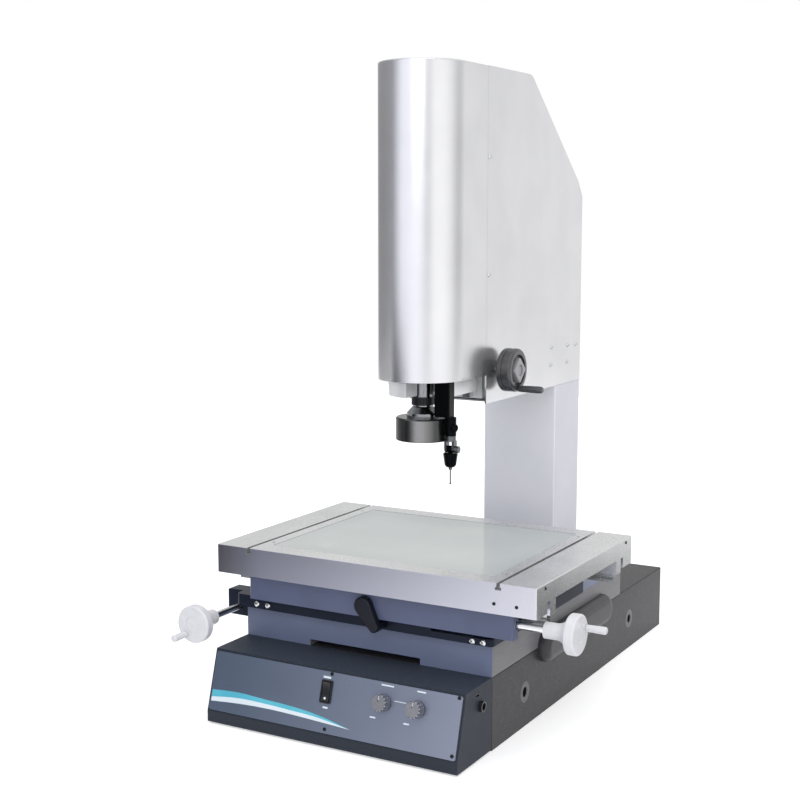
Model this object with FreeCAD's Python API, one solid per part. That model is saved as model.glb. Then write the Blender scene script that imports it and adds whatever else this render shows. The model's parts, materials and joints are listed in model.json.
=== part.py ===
import FreeCAD, Part
import math
import os

Vector = FreeCAD.Vector

# Manual vision measuring machine: a granite base with a crossed table, and a column that carries
# a measuring head. Millimetres, +X right, +Y to the rear, +Z up. The origin is the centre of the
# underside of the base. The lens axis is at X = 0.

# Granite base and the bed on it
BASE_WIDTH = 400.0
BASE_DEPTH = 683.0
BASE_HEIGHT = 103.0
STONE_CHAMFER = 1.5
INSERT_SETBACKS = (108.0, 526.0)
INSERT_RADIUS = 15.0
INSERT_DEPTH = 30.0
INSERT_HEIGHT = 50.0
INSERT_BORE_RADIUS = 7.0
INSERT_BORE_DEPTH = 26.0
INSERT_MOUTH = 1.0
GLUE_GAP = 0.1
BED_HEIGHT = 43.0
BED_BAR_WIDTH = 32.0
BED_BAR_END = 16.0
BED_FLOOR = 24.0
BED_EDGE_RADIUS = 2.0
CABLE_SLOT_HALF = 90.0
CABLE_SLOT_HEIGHT = 9.0
SCALE_COVER_FRONT = 150.0
SCALE_COVER_REAR = 415.0
SCALE_COVER_LOW = 77.0
SCALE_COVER_HIGH = 124.0
SCALE_COVER_BULGE = 16.0
SCALE_COVER_ROUND = 13.0

# Position and travel of the crossed table, counted from the lens axis
LENS_SETBACK = 172.0
STAGE_OFFSET_X = 36.6
STAGE_OFFSET_Y = -53.0
TRAVEL_X = 300.0
TRAVEL_Y = 200.0

# Rails and bearing blocks
RAIL_CLEARANCE = 0.3
Y_RAIL_X = 120.0
Y_RAIL_WIDTH = 15.0
Y_RAIL_HEIGHT = 12.0
Y_RAIL_WAIST = 2.0
Y_RAIL_END_GAP = 4.0
Y_BLOCK_WIDTH = 34.0
Y_BLOCK_LENGTH = 44.0
Y_BLOCK_END_PLAY = 2.0
X_RAIL_WIDTH = 12.0
X_RAIL_HEIGHT = 13.0
X_RAIL_WAIST = 1.6
X_RAIL_END_GAP = 6.0
X_RAIL_SPAN = 238.0
X_RAIL_SETBACK = 52.8
X_BLOCK_WIDTH = 24.0
X_BLOCK_LENGTH = 40.0
X_BLOCK_X = 65.0
X_BLOCK_HEIGHT = 30.0

# Saddle
SADDLE_OVERHANG = 8.0
SADDLE_GAP = 4.0
SADDLE_THICKNESS = 18.0
SADDLE_FRONT_REACH = 135.0
SADDLE_CORNER = 6.0
BEAM_WINDOW_HALF = 24.0
BEAM_WINDOW_MARGIN = 22.0

# Table, glass and front cover
TABLE_WIDTH = 500.0
TABLE_DEPTH = 343.4
TABLE_THICKNESS = 25.5
RAIL_SEAT_LIFT = 35.0
RAIL_RIB_HEIGHT = 20.5
RAIL_RIB_WIDTH = 18.0
APRON_DEPTH = 35.0
APRON_DROP = 15.5
TABLE_EDGE_RADIUS = 1.2
GLASS_WIDTH = 350.0
GLASS_DEPTH = 280.0
GLASS_THICKNESS = 8.0
GLASS_SIDE_GAP = 0.4
GLASS_SINK = 0.2
WINDOW_MARGIN = 8.0
GROOVE_X = 196.0
GROOVE_NECK = 5.0
GROOVE_NECK_DEPTH = 5.0
GROOVE_HEAD = 9.0
GROOVE_HEAD_DEPTH = 4.0
CLAMP_HOLE_X = 185.0
CLAMP_HOLE_Y = 124.0
CLAMP_HOLE_RADIUS = 2.1
CLAMP_HOLE_DEPTH = 14.0
COVER_INSET = 19.8
COVER_END_INSET = 41.0
COVER_DROP = 1.0
COVER_SHEET = 2.5

# Traverse rods, cranks and nuts
ROD_RADIUS = 5.0
RUNNING_CLEARANCE = 0.05
X_ROD_SETBACK = 32.8
X_ROD_LIFT = 19.0
Y_ROD_OUT = 15.0
Y_ROD_DROP = 6.4
ROD_BEARING_LENGTH = 12.0
ROD_BEARING_HALF = 7.5
X_NUT_LEFT = 2.0
X_NUT_LENGTH = 36.0
X_NUT_HALF = 9.5
X_NUT_HEIGHT = 30.0
Y_NUT_LENGTH = 36.0
Y_NUT_WIDTH = 20.0
Y_NUT_BELOW = 11.5
Y_BRACKET_SETBACK = 10.0
Y_BRACKET_LENGTH = 24.0
Y_BRACKET_OUT = 42.0
Y_BRACKET_BELOW = 17.0
Y_BRACKET_ABOVE = 21.4
SLIDE_GAP = 0.6
TRAVEL_STOP = 14.0
X_CRANK_GAP = 40.0
Y_CRANK_GAP = 64.0
CRANK_PASS_GAP = 1.0
CRANK_HUB_RADIUS = 11.0
CRANK_HUB_LENGTH = 16.0
CRANK_FLARE_LENGTH = 18.0
CRANK_RIM_RADIUS = 27.0
CRANK_RIM_LENGTH = 14.0
CRANK_RIM_ROUND = 3.0
CRANK_DISH_DEPTH = 1.5
CRANK_DISH_RADIUS = 12.0
GRIP_OFFSET = 19.0
GRIP_RADIUS = 5.0
GRIP_LENGTH = 28.0
GRIP_GAP = 0.5
GRIP_PIN_RADIUS = 2.5
SET_SCREW_RADIUS = 2.2
X_GRIP_ANGLE = 105.0
Y_GRIP_ANGLE = 231.0

# Quick-release lever of the X nut
LEVER_X = 40.0
LEVER_DROP = 9.0
LEVER_PIN_RADIUS = 4.0
LEVER_PIN_DEPTH = 11.0
LEVER_HUB_RADIUS = 7.5
LEVER_LENGTH = 33.0
LEVER_HEAD_RADIUS = 13.0
LEVER_THICKNESS = 10.0
LEVER_LEAN = 32.0

# Lamp below the glass
LOWER_LAMP_RADIUS = 30.0
LOWER_LAMP_HEIGHT = 15.0
LOWER_LAMP_NECK_RADIUS = 20.0
LOWER_LAMP_NECK_GAP = 2.0
LOWER_LAMP_LENS_RADIUS = 16.0
LOWER_LAMP_LENS_DEPTH = 3.0

# Control box in front of the base
BOX_TOP_DEPTH = 78.0
BOX_BOTTOM_DEPTH = 102.6
BOX_LIP_HEIGHT = 18.0
BOX_FLOOR_GAP = 2.0
BOX_SHEET = 2.5
PANEL_THICKNESS = 2.0
PANEL_MARGIN = 3.0
PANEL_CORNER = 3.0
KNOB_XS = (82.0, 133.5)
KNOB_UP = 58.4
KNOB_RADIUS = 11.5
KNOB_HEIGHT = 14.0
KNOB_GAP = 0.6
KNOB_FLUTES = 14
KNOB_FLUTE_RADIUS = 1.5
KNOB_SHAFT_RADIUS = 3.0
DIMMER_NECK_RADIUS = 4.5
DIMMER_SIZE = 22.0
DIMMER_DEPTH = 12.0
DIMMER_PROUD = 1.5
ROCKER_X = -7.5
ROCKER_UP = 58.4
ROCKER_WIDTH = 12.0
ROCKER_LENGTH = 26.0
ROCKER_THICKNESS = 8.0
ROCKER_PROUD = 3.6
ROCKER_CROWN = 1.8
ROCKER_CLEARANCE = 0.8
ROCKER_FRAME = 2.6
ROCKER_FRAME_HEIGHT = 2.4
ROCKER_CASE_DEPTH = 20.0
ROCKER_PIN_RADIUS = 1.5
ROCKER_PIVOT = -1.5
BOARD_WIDTH = 150.0
BOARD_DEPTH = 60.0
BOARD_THICKNESS = 1.6
BOARD_LIFT = 8.0
BOARD_SETBACK = 12.0
BOARD_POST_RADIUS = 3.0
BOARD_POST_INSET = 6.0
TRANSFORMER_X = -41.0
TRANSFORMER_WIDTH = 38.0
TRANSFORMER_HEIGHT = 26.0
TRANSFORMER_INSET = 12.0
FIN_X = 8.0
FIN_STEP = 7.0
FIN_COUNT = 6
FIN_THICKNESS = 2.0
FIN_HEIGHT = 22.0
FIN_INSET = 14.0
SOCKET_DEPTH = 34.0
SOCKET_HEIGHT = 74.0
SOCKET_RADIUS = 7.5
SOCKET_PROUD = 5.0
SOCKET_BORE_RADIUS = 5.0
PORT_DEPTH = 43.0
PORT_HEIGHT = 94.0
PORT_WIDTH = 12.0
PORT_TALL = 5.0
INLET_DEPTH = 42.0
INLET_HEIGHT = 62.0
INLET_WIDTH = 28.0
INLET_TALL = 22.0
INLET_BODY_DEPTH = 24.0
INLET_FLANGE = 2.0
INLET_EAR = 9.0
INLET_LIP = 2.0
INLET_WELL_DEPTH = 17.0
INLET_WALL = 2.0
INLET_SHELF = 3.0
INLET_CORNER = 3.0
INLET_PIN_SINK = 3.0
INLET_PIN_SPREAD = 7.0
INLET_PIN_THICKNESS = 2.0
INLET_PIN_TALL = 4.0
INLET_PIN_DROP = 1.0
INLET_EARTH_LIFT = 4.0

# Column
COLUMN_SETBACK = 515.0
BED_TO_COLUMN = 35.0
COLUMN_HALF = 66.0
COLUMN_DEPTH = 104.0
COLUMN_REVEAL = 332.0
COLUMN_SHEET = 2.5
COLUMN_SHEET_GAP = 3.5
COLUMN_WALL = 12.0
COLUMN_POST_HEIGHT = 632.0

# Measuring head covers
HEAD_HEIGHT = 500.0
HEAD_SEAM_SETBACK = 250.0
HEAD_SHEET = 2.5
HEAD_SEAM_GAP = 0.4
FRONT_COVER_RISE = 43.0
HEAD_SLOPE_FRONT = 405.0
HEAD_SLOPE_REAR = 600.0
HEAD_SLOPE_DROP = 160.0
HEAD_BACK_DROP = 25.0
HEAD_TOP_ROUND = 26.0
HEAD_EDGE_ROUND = 2.5
HEAD_FLOOR_FRONT = 273.0

# Backbone of the head, with the Z rails and the belt drive
FRAME_SETBACK = 268.0
FRAME_HALF = 50.0
FRAME_WALL = 12.0
FRAME_LIFT = 5.0
FRAME_TOP = 415.0
FRAME_SLOPE_SETBACK = 420.0
FRAME_REAR_TOP = 300.0
FRAME_HOLE_RADIUS = 42.0
FRAME_HOLES = ((395.0, 90.0), (395.0, 200.0), (395.0, 310.0))
Z_RAIL_X = 28.0
Z_RAIL_WIDTH = 12.0
Z_RAIL_HEIGHT = 10.0
Z_RAIL_WAIST = 1.6
Z_RAIL_LOW = 7.0
Z_RAIL_HIGH = 410.0
Z_BLOCK_WIDTH = 27.0
Z_BLOCK_LENGTH = 40.0
Z_BLOCK_DEPTH = 22.0
Z_BLOCK_LIFTS = (94.0, 286.0)
WHEEL_SETBACK = 290.0
WHEEL_LIFT = 49.0
IDLER_LIFT = 385.0
PULLEY_RADIUS = 12.0
PULLEY_FLANGE = 14.5
BELT_LEFT = 54.0
BELT_WIDTH = 5.0
BELT_GAP = 0.3
BELT_THICKNESS = 1.6
SHAFT_RADIUS = 5.0
SHAFT_BOSS_RADIUS = 14.0
SHAFT_BOSS_LENGTH = 2.0
IDLER_PIN_RADIUS = 4.0

# Z handwheel
WHEEL_START = 70.0
WHEEL_HUB_RADIUS = 14.0
WHEEL_HUB_LENGTH = 7.0
WHEEL_RADIUS = 33.0
WHEEL_LENGTH = 24.0
WHEEL_ROUND = 4.0
WHEEL_DISH_RADIUS = 24.0
WHEEL_DISH_DEPTH = 5.0
WHEEL_BOSS_HALF = 14.5
WHEEL_BOSS_CORNER = 4.0
WHEEL_BOSS_HEIGHT = 8.0
WHEEL_CAP_RADIUS = 9.0
WHEEL_CAP_DEPTH = 2.0
WHEEL_GRIP_OFFSET = 28.0
WHEEL_GRIP_RADIUS = 5.5
WHEEL_GRIP_LENGTH = 40.0

# Z carriage and optics
CARRIAGE_LIFT = 19.0
LENS_PLATE_THICKNESS = 24.0
LENS_PLATE_RADIUS = 51.0
PLATE_NOTCH_X = 0.0
PLATE_NOTCH_Y = 2.0
CARRIAGE_HALF = 42.0
CARRIAGE_THICKNESS = 10.0
CARRIAGE_HEIGHT = 296.0
CARRIAGE_RIB_X = 33.0
CARRIAGE_RIB_WIDTH = 6.0
CARRIAGE_RIB_REACH = 32.0
CARRIAGE_RIB_HEIGHT = 70.0
LENS_CLAMP_LIFT = 120.0
LENS_CLAMP_LENGTH = 22.0
LENS_CLAMP_RADIUS = 28.0
BARREL_RADIUS = 15.0
TUBE_RADIUS = 20.0
TUBE_LOW = 30.0
TUBE_HIGH = 186.0
ZOOM_RING_RADIUS = 17.0
ZOOM_RING_DROP = 15.0
ZOOM_RING_LENGTH = 12.0
ZOOM_SEAT_RADIUS = 13.0
ZOOM_RING_GROOVES = 24
BARREL_DROP = 17.0
CONE_RADIUS = 24.0
CONE_LENGTH = 10.0
COLLAR_LENGTH = 6.0
NOSE_RADIUS = 14.0
NOSE_LENGTH = 26.0
CAMERA_HALF = 22.0
CAMERA_HEIGHT = 62.0
CAMERA_CORNER = 3.0
RING_LIGHT_RADIUS = 40.6
RING_LIGHT_HEIGHT = 34.0
RING_LIGHT_BORE_GAP = 0.5
RING_LIGHT_RECESS_RADIUS = 36.0
RING_LIGHT_RECESS_DEPTH = 9.0
RING_LIGHT_ROUND = 2.0
DIFFUSER_INNER = 20.0
DIFFUSER_THICKNESS = 2.5
CLAMP_ARM_WIDTH = 7.5

# Touch probe
PROBE_X = 50.0
PROBE_AHEAD = 7.0
PROBE_BRACKET_LEFT = 27.0
PROBE_BRACKET_WIDTH = 25.0
PROBE_BRACKET_DEPTH = 18.0
PROBE_KNOB_LEAN = 22.0
PROBE_BRACKET_DROP = 30.0
PROBE_HEAD_RADIUS = 8.6
PROBE_HEAD_LENGTH = 27.0
PROBE_KNOB_RADIUS = 6.0
PROBE_KNOB_REACH = 11.0
PROBE_KNOB_DROP = 45.0
PROBE_JOINT_GAP = 0.4
KNUCKLE_RADIUS = 8.0
KNUCKLE_LENGTH = 8.0
FORK_EAR = 3.6
FORK_HALF = 5.0
TILT_DROP = 77.0
TILT_PIN_RADIUS = 2.5
TILT_KNOB_RADIUS = 5.0
TILT_KNOB_LENGTH = 6.0
PROBE_BODY_TOP = 5.6
PROBE_BODY_WIDE = 11.0
PROBE_BODY_NARROW = 8.5
PROBE_BODY_LENGTH = 21.0
STYLUS_RADIUS = 1.0
STYLUS_BALL_RADIUS = 1.5
STYLUS_LENGTH = 26.4

# Places worked out from the sizes above
BASE_FRONT = -BASE_DEPTH / 2
BASE_HALF = BASE_WIDTH / 2
BED_TOP = BASE_HEIGHT + BED_HEIGHT
BED_LENGTH = COLUMN_SETBACK - BED_TO_COLUMN
BED_FLOOR_TOP = BASE_HEIGHT + BED_FLOOR
SADDLE_BOTTOM = BED_TOP + SADDLE_GAP
SADDLE_TOP = SADDLE_BOTTOM + SADDLE_THICKNESS
SADDLE_HALF = BASE_HALF + SADDLE_OVERHANG
RAIL_SEAT = SADDLE_TOP + RAIL_SEAT_LIFT
TABLE_UNDER = RAIL_SEAT + RAIL_RIB_HEIGHT
TABLE_TOP = TABLE_UNDER + TABLE_THICKNESS
APRON_BOTTOM = TABLE_UNDER - APRON_DROP
LENS_Y = BASE_FRONT + LENS_SETBACK
TABLE_X = STAGE_OFFSET_X
TABLE_Y = LENS_Y + STAGE_OFFSET_Y
TABLE_FRONT = TABLE_Y - TABLE_DEPTH / 2
TABLE_REAR = TABLE_Y + TABLE_DEPTH / 2
SADDLE_FRONT = TABLE_Y - SADDLE_FRONT_REACH
X_RAIL_YS = (TABLE_FRONT + X_RAIL_SETBACK, TABLE_FRONT + X_RAIL_SETBACK + X_RAIL_SPAN)
Y_TO_FRONT = TRAVEL_Y / 2 + STAGE_OFFSET_Y
Y_TO_REAR = TRAVEL_Y / 2 - STAGE_OFFSET_Y
Y_RAIL_START = BASE_FRONT + BED_BAR_END + Y_RAIL_END_GAP
Y_RAIL_LENGTH = BED_LENGTH - 2 * (BED_BAR_END + Y_RAIL_END_GAP)
Y_BLOCK_FRONT = Y_RAIL_START + Y_TO_FRONT + Y_BLOCK_END_PLAY
SADDLE_REAR = Y_RAIL_START + Y_RAIL_LENGTH - Y_TO_REAR - Y_BLOCK_END_PLAY
X_ROD_Y = TABLE_FRONT + X_ROD_SETBACK
X_ROD_Z = SADDLE_TOP + X_ROD_LIFT
Y_ROD_X = -BASE_HALF - Y_ROD_OUT
Y_ROD_Z = SADDLE_BOTTOM - Y_ROD_DROP
Y_BRACKET_FRONT = BASE_FRONT + Y_BRACKET_SETBACK
Y_NUT_FRONT = Y_BRACKET_FRONT + Y_BRACKET_LENGTH + Y_TO_FRONT + TRAVEL_STOP
Y_BRACKET_REAR = Y_NUT_FRONT + Y_NUT_LENGTH + Y_TO_REAR + TRAVEL_STOP
COVER_Y = TABLE_FRONT + COVER_INSET
COVER_HALF = TABLE_WIDTH / 2 - COVER_END_INSET
COLUMN_FRONT = BASE_FRONT + COLUMN_SETBACK
COLUMN_REAR = COLUMN_FRONT + COLUMN_DEPTH
COLUMN_POST_INSET = COLUMN_SHEET + COLUMN_SHEET_GAP
HEAD_BOTTOM = BASE_HEIGHT + COLUMN_REVEAL
HEAD_TOP = HEAD_BOTTOM + HEAD_HEIGHT
HEAD_SEAM = BASE_FRONT + HEAD_SEAM_SETBACK
HEAD_HALF = COLUMN_HALF
FRONT_COVER_BOTTOM = HEAD_BOTTOM + FRONT_COVER_RISE
FRAME_FRONT = BASE_FRONT + FRAME_SETBACK
FRAME_REAR = COLUMN_FRONT + COLUMN_POST_INSET
WHEEL_Y = BASE_FRONT + WHEEL_SETBACK
WHEEL_Z = HEAD_BOTTOM + WHEEL_LIFT
IDLER_Z = HEAD_BOTTOM + IDLER_LIFT
LENS_PLATE_Z = HEAD_BOTTOM + CARRIAGE_LIFT
CARRIAGE_REAR = FRAME_FRONT - Z_BLOCK_DEPTH
CARRIAGE_FRONT = CARRIAGE_REAR - CARRIAGE_THICKNESS
RING_LIGHT_TOP = LENS_PLATE_Z - BARREL_DROP - CONE_LENGTH - COLLAR_LENGTH
PROBE_Y = LENS_Y - PROBE_AHEAD
TILT_Z = LENS_PLATE_Z - TILT_DROP
SLOPE_RUN = BOX_BOTTOM_DEPTH - BOX_TOP_DEPTH
SLOPE_RISE = BASE_HEIGHT - BOX_LIP_HEIGHT
SLOPE_LENGTH = math.hypot(SLOPE_RUN, SLOPE_RISE)
SLOPE_TILT = math.degrees(math.atan2(SLOPE_RISE, SLOPE_RUN))
CUT = 1.0

X_AXIS = Vector(1, 0, 0)
Y_AXIS = Vector(0, 1, 0)
Z_AXIS = Vector(0, 0, 1)


def save(node, *solids):
    """Write one STEP file for a node, as one solid or a group of solids."""
    shape = solids[0] if len(solids) == 1 else Part.makeCompound(list(solids))
    shape.exportStep("parts/" + node + ".step")


def box(low, high):
    """Box between its lowest and its highest corner."""
    size = [b - a for a, b in zip(low, high)]
    return Part.makeBox(size[0], size[1], size[2], Vector(*low))


def rod(radius, start, end):
    """Cylinder from one point to another."""
    start = Vector(*start)
    along = Vector(*end) - start
    return Part.makeCylinder(radius, along.Length, start, along)


def fuse(first, *others):
    """One solid from pieces that overlap or share a face."""
    return first.fuse(list(others)).removeSplitter()


def edges_along(shape, axis):
    """Straight edges parallel to an axis."""
    found = []
    for edge in shape.Edges:
        straight = isinstance(edge.Curve, Part.Line)
        if straight and edge.tangentAt(edge.FirstParameter).cross(axis).Length < 1e-6:
            found.append(edge)
    return found


def edges_at(shape, axis, place):
    """Edges that lie in the plane at a place along an axis."""
    found = []
    for edge in shape.Edges:
        ends = [vertex.Point.dot(axis) for vertex in edge.Vertexes]
        middle = edge.CenterOfMass.dot(axis)
        if all(abs(value - place) < 1e-4 for value in ends + [middle]):
            found.append(edge)
    return found


def rounded_box(low, high, axis, radius):
    """Box with its four edges along an axis rounded."""
    shape = box(low, high)
    return shape.makeFillet(radius, edges_along(shape, axis))


def prism(points, along):
    """Closed outline of points, extruded."""
    wire = Part.makePolygon([Vector(*point) for point in points] + [Vector(*points[0])])
    return Part.Face(wire).extrude(along)


def turned(profile):
    """Solid of revolution about Z from (radius, height) points."""
    points = [Vector(radius, 0, height) for radius, height in profile]
    wire = Part.makePolygon(points + [points[0]])
    solid = Part.Face(wire).revolve(Vector(0, 0, 0), Z_AXIS, 360)
    return solid if solid.Volume > 0 else solid.reversed()


def placed(shape, origin, direction, spin=0.0):
    """Copy of a shape made along +Z, moved to an origin and pointed along a direction."""
    turn = FreeCAD.Rotation(Z_AXIS, Vector(*direction))
    own_spin = FreeCAD.Rotation(Z_AXIS, spin)
    moved = shape.copy()
    place = FreeCAD.Placement(Vector(*origin), turn.multiply(own_spin))
    moved.Placement = place.multiply(shape.Placement)
    return moved


def on_section(points, origin, across, up, along):
    """Outline given as (across, up) pairs, set at an origin and extruded."""
    corners = [Vector(*origin) + across * a + up * b for a, b in points]
    wire = Part.makePolygon(corners + [corners[0]])
    return Part.Face(wire).extrude(along)


def rail_section(width, height, waist):
    """Guide rail with a ball track in each side."""
    half = width / 2
    right = [(half, 0), (half, height * 0.3), (half - waist, height * 0.5)]
    right += [(half, height * 0.7), (half, height)]
    return right + [(-a, b) for a, b in reversed(right)]


def block_section(block_width, block_height, seat_gap, width, height, waist):
    """Bearing block that wraps the rail, with a running clearance all round."""
    inner = width / 2 + RAIL_CLEARANCE
    channel = [(inner, seat_gap), (inner, height * 0.3), (inner - waist, height * 0.5)]
    channel += [(inner, height * 0.7), (inner, height + RAIL_CLEARANCE)]
    outer = [(block_width / 2, block_height), (block_width / 2, seat_gap)]
    right = outer + channel
    return right + [(-a, b) for a, b in reversed(right)]


def granite_base():
    """Granite plate that rests on its whole underside, with pockets for the side inserts."""
    stone = box((-BASE_HALF, BASE_FRONT, 0), (BASE_HALF, -BASE_FRONT, BASE_HEIGHT))
    outside = edges_along(stone, Z_AXIS) + edges_at(stone, Z_AXIS, BASE_HEIGHT)
    stone = stone.makeChamfer(STONE_CHAMFER, outside)
    for side in (-1, 1):
        for setback in INSERT_SETBACKS:
            y = BASE_FRONT + setback
            inner = side * (BASE_HALF - INSERT_DEPTH - GLUE_GAP)
            outer = side * (BASE_HALF + CUT)
            pocket = rod(INSERT_RADIUS + GLUE_GAP, (inner, y, INSERT_HEIGHT), (outer, y, INSERT_HEIGHT))
            stone = stone.cut(pocket)
    return stone


def lifting_inserts():
    """Threaded steel bushes glued in the sides, for lifting bars."""
    profile = [
        (0, 0),
        (INSERT_RADIUS, 0),
        (INSERT_RADIUS, INSERT_DEPTH),
        (INSERT_BORE_RADIUS + INSERT_MOUTH, INSERT_DEPTH),
        (INSERT_BORE_RADIUS, INSERT_DEPTH - INSERT_MOUTH),
        (INSERT_BORE_RADIUS, INSERT_DEPTH - INSERT_BORE_DEPTH),
        (0, INSERT_DEPTH - INSERT_BORE_DEPTH),
    ]
    bush = turned(profile)
    bushes = []
    for side in (-1, 1):
        for setback in INSERT_SETBACKS:
            origin = (side * (BASE_HALF - INSERT_DEPTH), BASE_FRONT + setback, INSERT_HEIGHT)
            bushes.append(placed(bush, origin, (side, 0, 0)))
    return bushes


def bed_bars():
    """Two side bars and two end bars that frame the bed. The front bar has the cable slot."""
    front, rear = BASE_FRONT, BASE_FRONT + BED_LENGTH
    bars = []
    for y in (front, rear - BED_BAR_END):
        bar = box((-BASE_HALF, y, BASE_HEIGHT), (BASE_HALF, y + BED_BAR_END, BED_TOP))
        bars.append(bar.makeFillet(BED_EDGE_RADIUS, edges_at(bar, Z_AXIS, BED_TOP)))
    slot_low = (-CABLE_SLOT_HALF, front - CUT, BASE_HEIGHT - CUT)
    slot_high = (CABLE_SLOT_HALF, front + BED_BAR_END + CUT, BASE_HEIGHT + CABLE_SLOT_HEIGHT)
    bars[0] = bars[0].cut(box(slot_low, slot_high))
    for x in (-BASE_HALF, BASE_HALF - BED_BAR_WIDTH):
        low = (x, front + BED_BAR_END, BASE_HEIGHT)
        high = (x + BED_BAR_WIDTH, rear - BED_BAR_END, BED_TOP)
        bar = box(low, high)
        outer = edges_at(bar, X_AXIS, math.copysign(BASE_HALF, x))
        top = [edge for edge in outer if abs(edge.CenterOfMass.z - BED_TOP) < 1e-4]
        bars.append(bar.makeFillet(BED_EDGE_RADIUS, top))
    return bars


def bed_plate():
    """Floor plate of the bed between its bars, notched where the cable slot comes through."""
    low = (BED_BAR_WIDTH - BASE_HALF, BASE_FRONT + BED_BAR_END, BASE_HEIGHT)
    high = (BASE_HALF - BED_BAR_WIDTH, BASE_FRONT + BED_LENGTH - BED_BAR_END, BED_FLOOR_TOP)
    notch_low = (-CABLE_SLOT_HALF, low[1] - CUT, BASE_HEIGHT - CUT)
    notch_high = (CABLE_SLOT_HALF, low[1] + BED_BAR_END, BASE_HEIGHT + CABLE_SLOT_HEIGHT)
    return box(low, high).cut(box(notch_low, notch_high))


def y_rails():
    """Two guide rails along the bed."""
    section = rail_section(Y_RAIL_WIDTH, Y_RAIL_HEIGHT, Y_RAIL_WAIST)
    rails = []
    for x in (-Y_RAIL_X, Y_RAIL_X):
        origin = (x, Y_RAIL_START, BED_FLOOR_TOP)
        rails.append(on_section(section, origin, X_AXIS, Z_AXIS, Y_AXIS * Y_RAIL_LENGTH))
    return rails


def y_blocks():
    """Four bearing blocks below the saddle, as far apart as the travel leaves room for."""
    height = SADDLE_BOTTOM - BED_FLOOR_TOP
    seat_gap = Y_RAIL_HEIGHT * 0.25
    rail = (Y_RAIL_WIDTH, Y_RAIL_HEIGHT, Y_RAIL_WAIST)
    section = block_section(Y_BLOCK_WIDTH, height, seat_gap, *rail)
    blocks = []
    for x in (-Y_RAIL_X, Y_RAIL_X):
        for y in (Y_BLOCK_FRONT, SADDLE_REAR - Y_BLOCK_LENGTH):
            origin = (x, y, BED_FLOOR_TOP)
            blocks.append(on_section(section, origin, X_AXIS, Z_AXIS, Y_AXIS * Y_BLOCK_LENGTH))
    return blocks


def scale_cover():
    """Moulded cover with round ends over the Y scale, on the right side of the base."""
    radius = (SCALE_COVER_HIGH - SCALE_COVER_LOW) / 2
    low = (BASE_HALF, BASE_FRONT + SCALE_COVER_FRONT, SCALE_COVER_LOW)
    high = (BASE_HALF + SCALE_COVER_BULGE, BASE_FRONT + SCALE_COVER_REAR, SCALE_COVER_HIGH)
    cover = box(low, high)
    cover = cover.makeFillet(radius - 0.01, edges_along(cover, X_AXIS))
    return cover.makeFillet(SCALE_COVER_ROUND, edges_at(cover, X_AXIS, high[0]))


def lower_lamp():
    """Lamp housing on the bed floor, with a seat for its lens."""
    top = SADDLE_BOTTOM - LOWER_LAMP_NECK_GAP - BED_FLOOR_TOP
    profile = [
        (0, 0),
        (LOWER_LAMP_RADIUS, 0),
        (LOWER_LAMP_RADIUS, LOWER_LAMP_HEIGHT),
        (LOWER_LAMP_NECK_RADIUS, LOWER_LAMP_HEIGHT),
        (LOWER_LAMP_NECK_RADIUS, top),
        (LOWER_LAMP_LENS_RADIUS + GLUE_GAP, top),
        (LOWER_LAMP_LENS_RADIUS + GLUE_GAP, top - LOWER_LAMP_LENS_DEPTH),
        (0, top - LOWER_LAMP_LENS_DEPTH),
    ]
    return placed(turned(profile), (0, LENS_Y, BED_FLOOR_TOP), (0, 0, 1))


def lower_lamp_lens():
    """Glass of the lower lamp."""
    top = SADDLE_BOTTOM - LOWER_LAMP_NECK_GAP
    bottom = top - LOWER_LAMP_LENS_DEPTH
    return rod(LOWER_LAMP_LENS_RADIUS, (0, LENS_Y, bottom), (0, LENS_Y, top))


def y_nut():
    """Nut of the Y rod, bolted to the left edge of the saddle."""
    low = (-SADDLE_HALF - Y_NUT_WIDTH, Y_NUT_FRONT, Y_ROD_Z - Y_NUT_BELOW)
    high = (-SADDLE_HALF, Y_NUT_FRONT + Y_NUT_LENGTH, SADDLE_TOP)
    nut = rounded_box(low, high, Y_AXIS, 2.0)
    start, end = (Y_ROD_X, low[1] - CUT, Y_ROD_Z), (Y_ROD_X, high[1] + CUT, Y_ROD_Z)
    return nut.cut(rod(ROD_RADIUS + RUNNING_CLEARANCE, start, end))


def beam_window():
    """Opening of the saddle above the lower lamp, over the whole Y travel."""
    low = (-BEAM_WINDOW_HALF, LENS_Y - Y_TO_REAR - BEAM_WINDOW_MARGIN, SADDLE_BOTTOM - CUT)
    high = (BEAM_WINDOW_HALF, LENS_Y + Y_TO_FRONT + BEAM_WINDOW_MARGIN, SADDLE_TOP + CUT)
    return rounded_box(low, high, Z_AXIS, BEAM_WINDOW_MARGIN)


def lever_axis(y):
    """Point on the pivot axis of the quick-release lever."""
    return (LEVER_X, y, SADDLE_TOP - LEVER_DROP)


def crank_scallop():
    """Relief along the front of the saddle, through which the X crank passes at the left of its travel."""
    hub_end = x_crank_origin()[0] + CRANK_HUB_LENGTH - (TRAVEL_X / 2 + STAGE_OFFSET_X)
    start, end = (hub_end, X_ROD_Y, X_ROD_Z), (SADDLE_HALF + CUT, X_ROD_Y, X_ROD_Z)
    return rod(CRANK_RIM_RADIUS + CRANK_PASS_GAP, start, end)


def saddle_plate():
    """Plate that slides in Y and carries the X bearing blocks."""
    low = (-SADDLE_HALF, SADDLE_FRONT, SADDLE_BOTTOM)
    high = (SADDLE_HALF, SADDLE_REAR, SADDLE_TOP)
    plate = rounded_box(low, high, Z_AXIS, SADDLE_CORNER)
    plate = plate.cut([beam_window(), crank_scallop()])
    pin_end = SADDLE_FRONT + LEVER_PIN_DEPTH + CUT
    radius = LEVER_PIN_RADIUS + RUNNING_CLEARANCE
    return plate.cut(rod(radius, lever_axis(SADDLE_FRONT - CUT), lever_axis(pin_end)))


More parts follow.
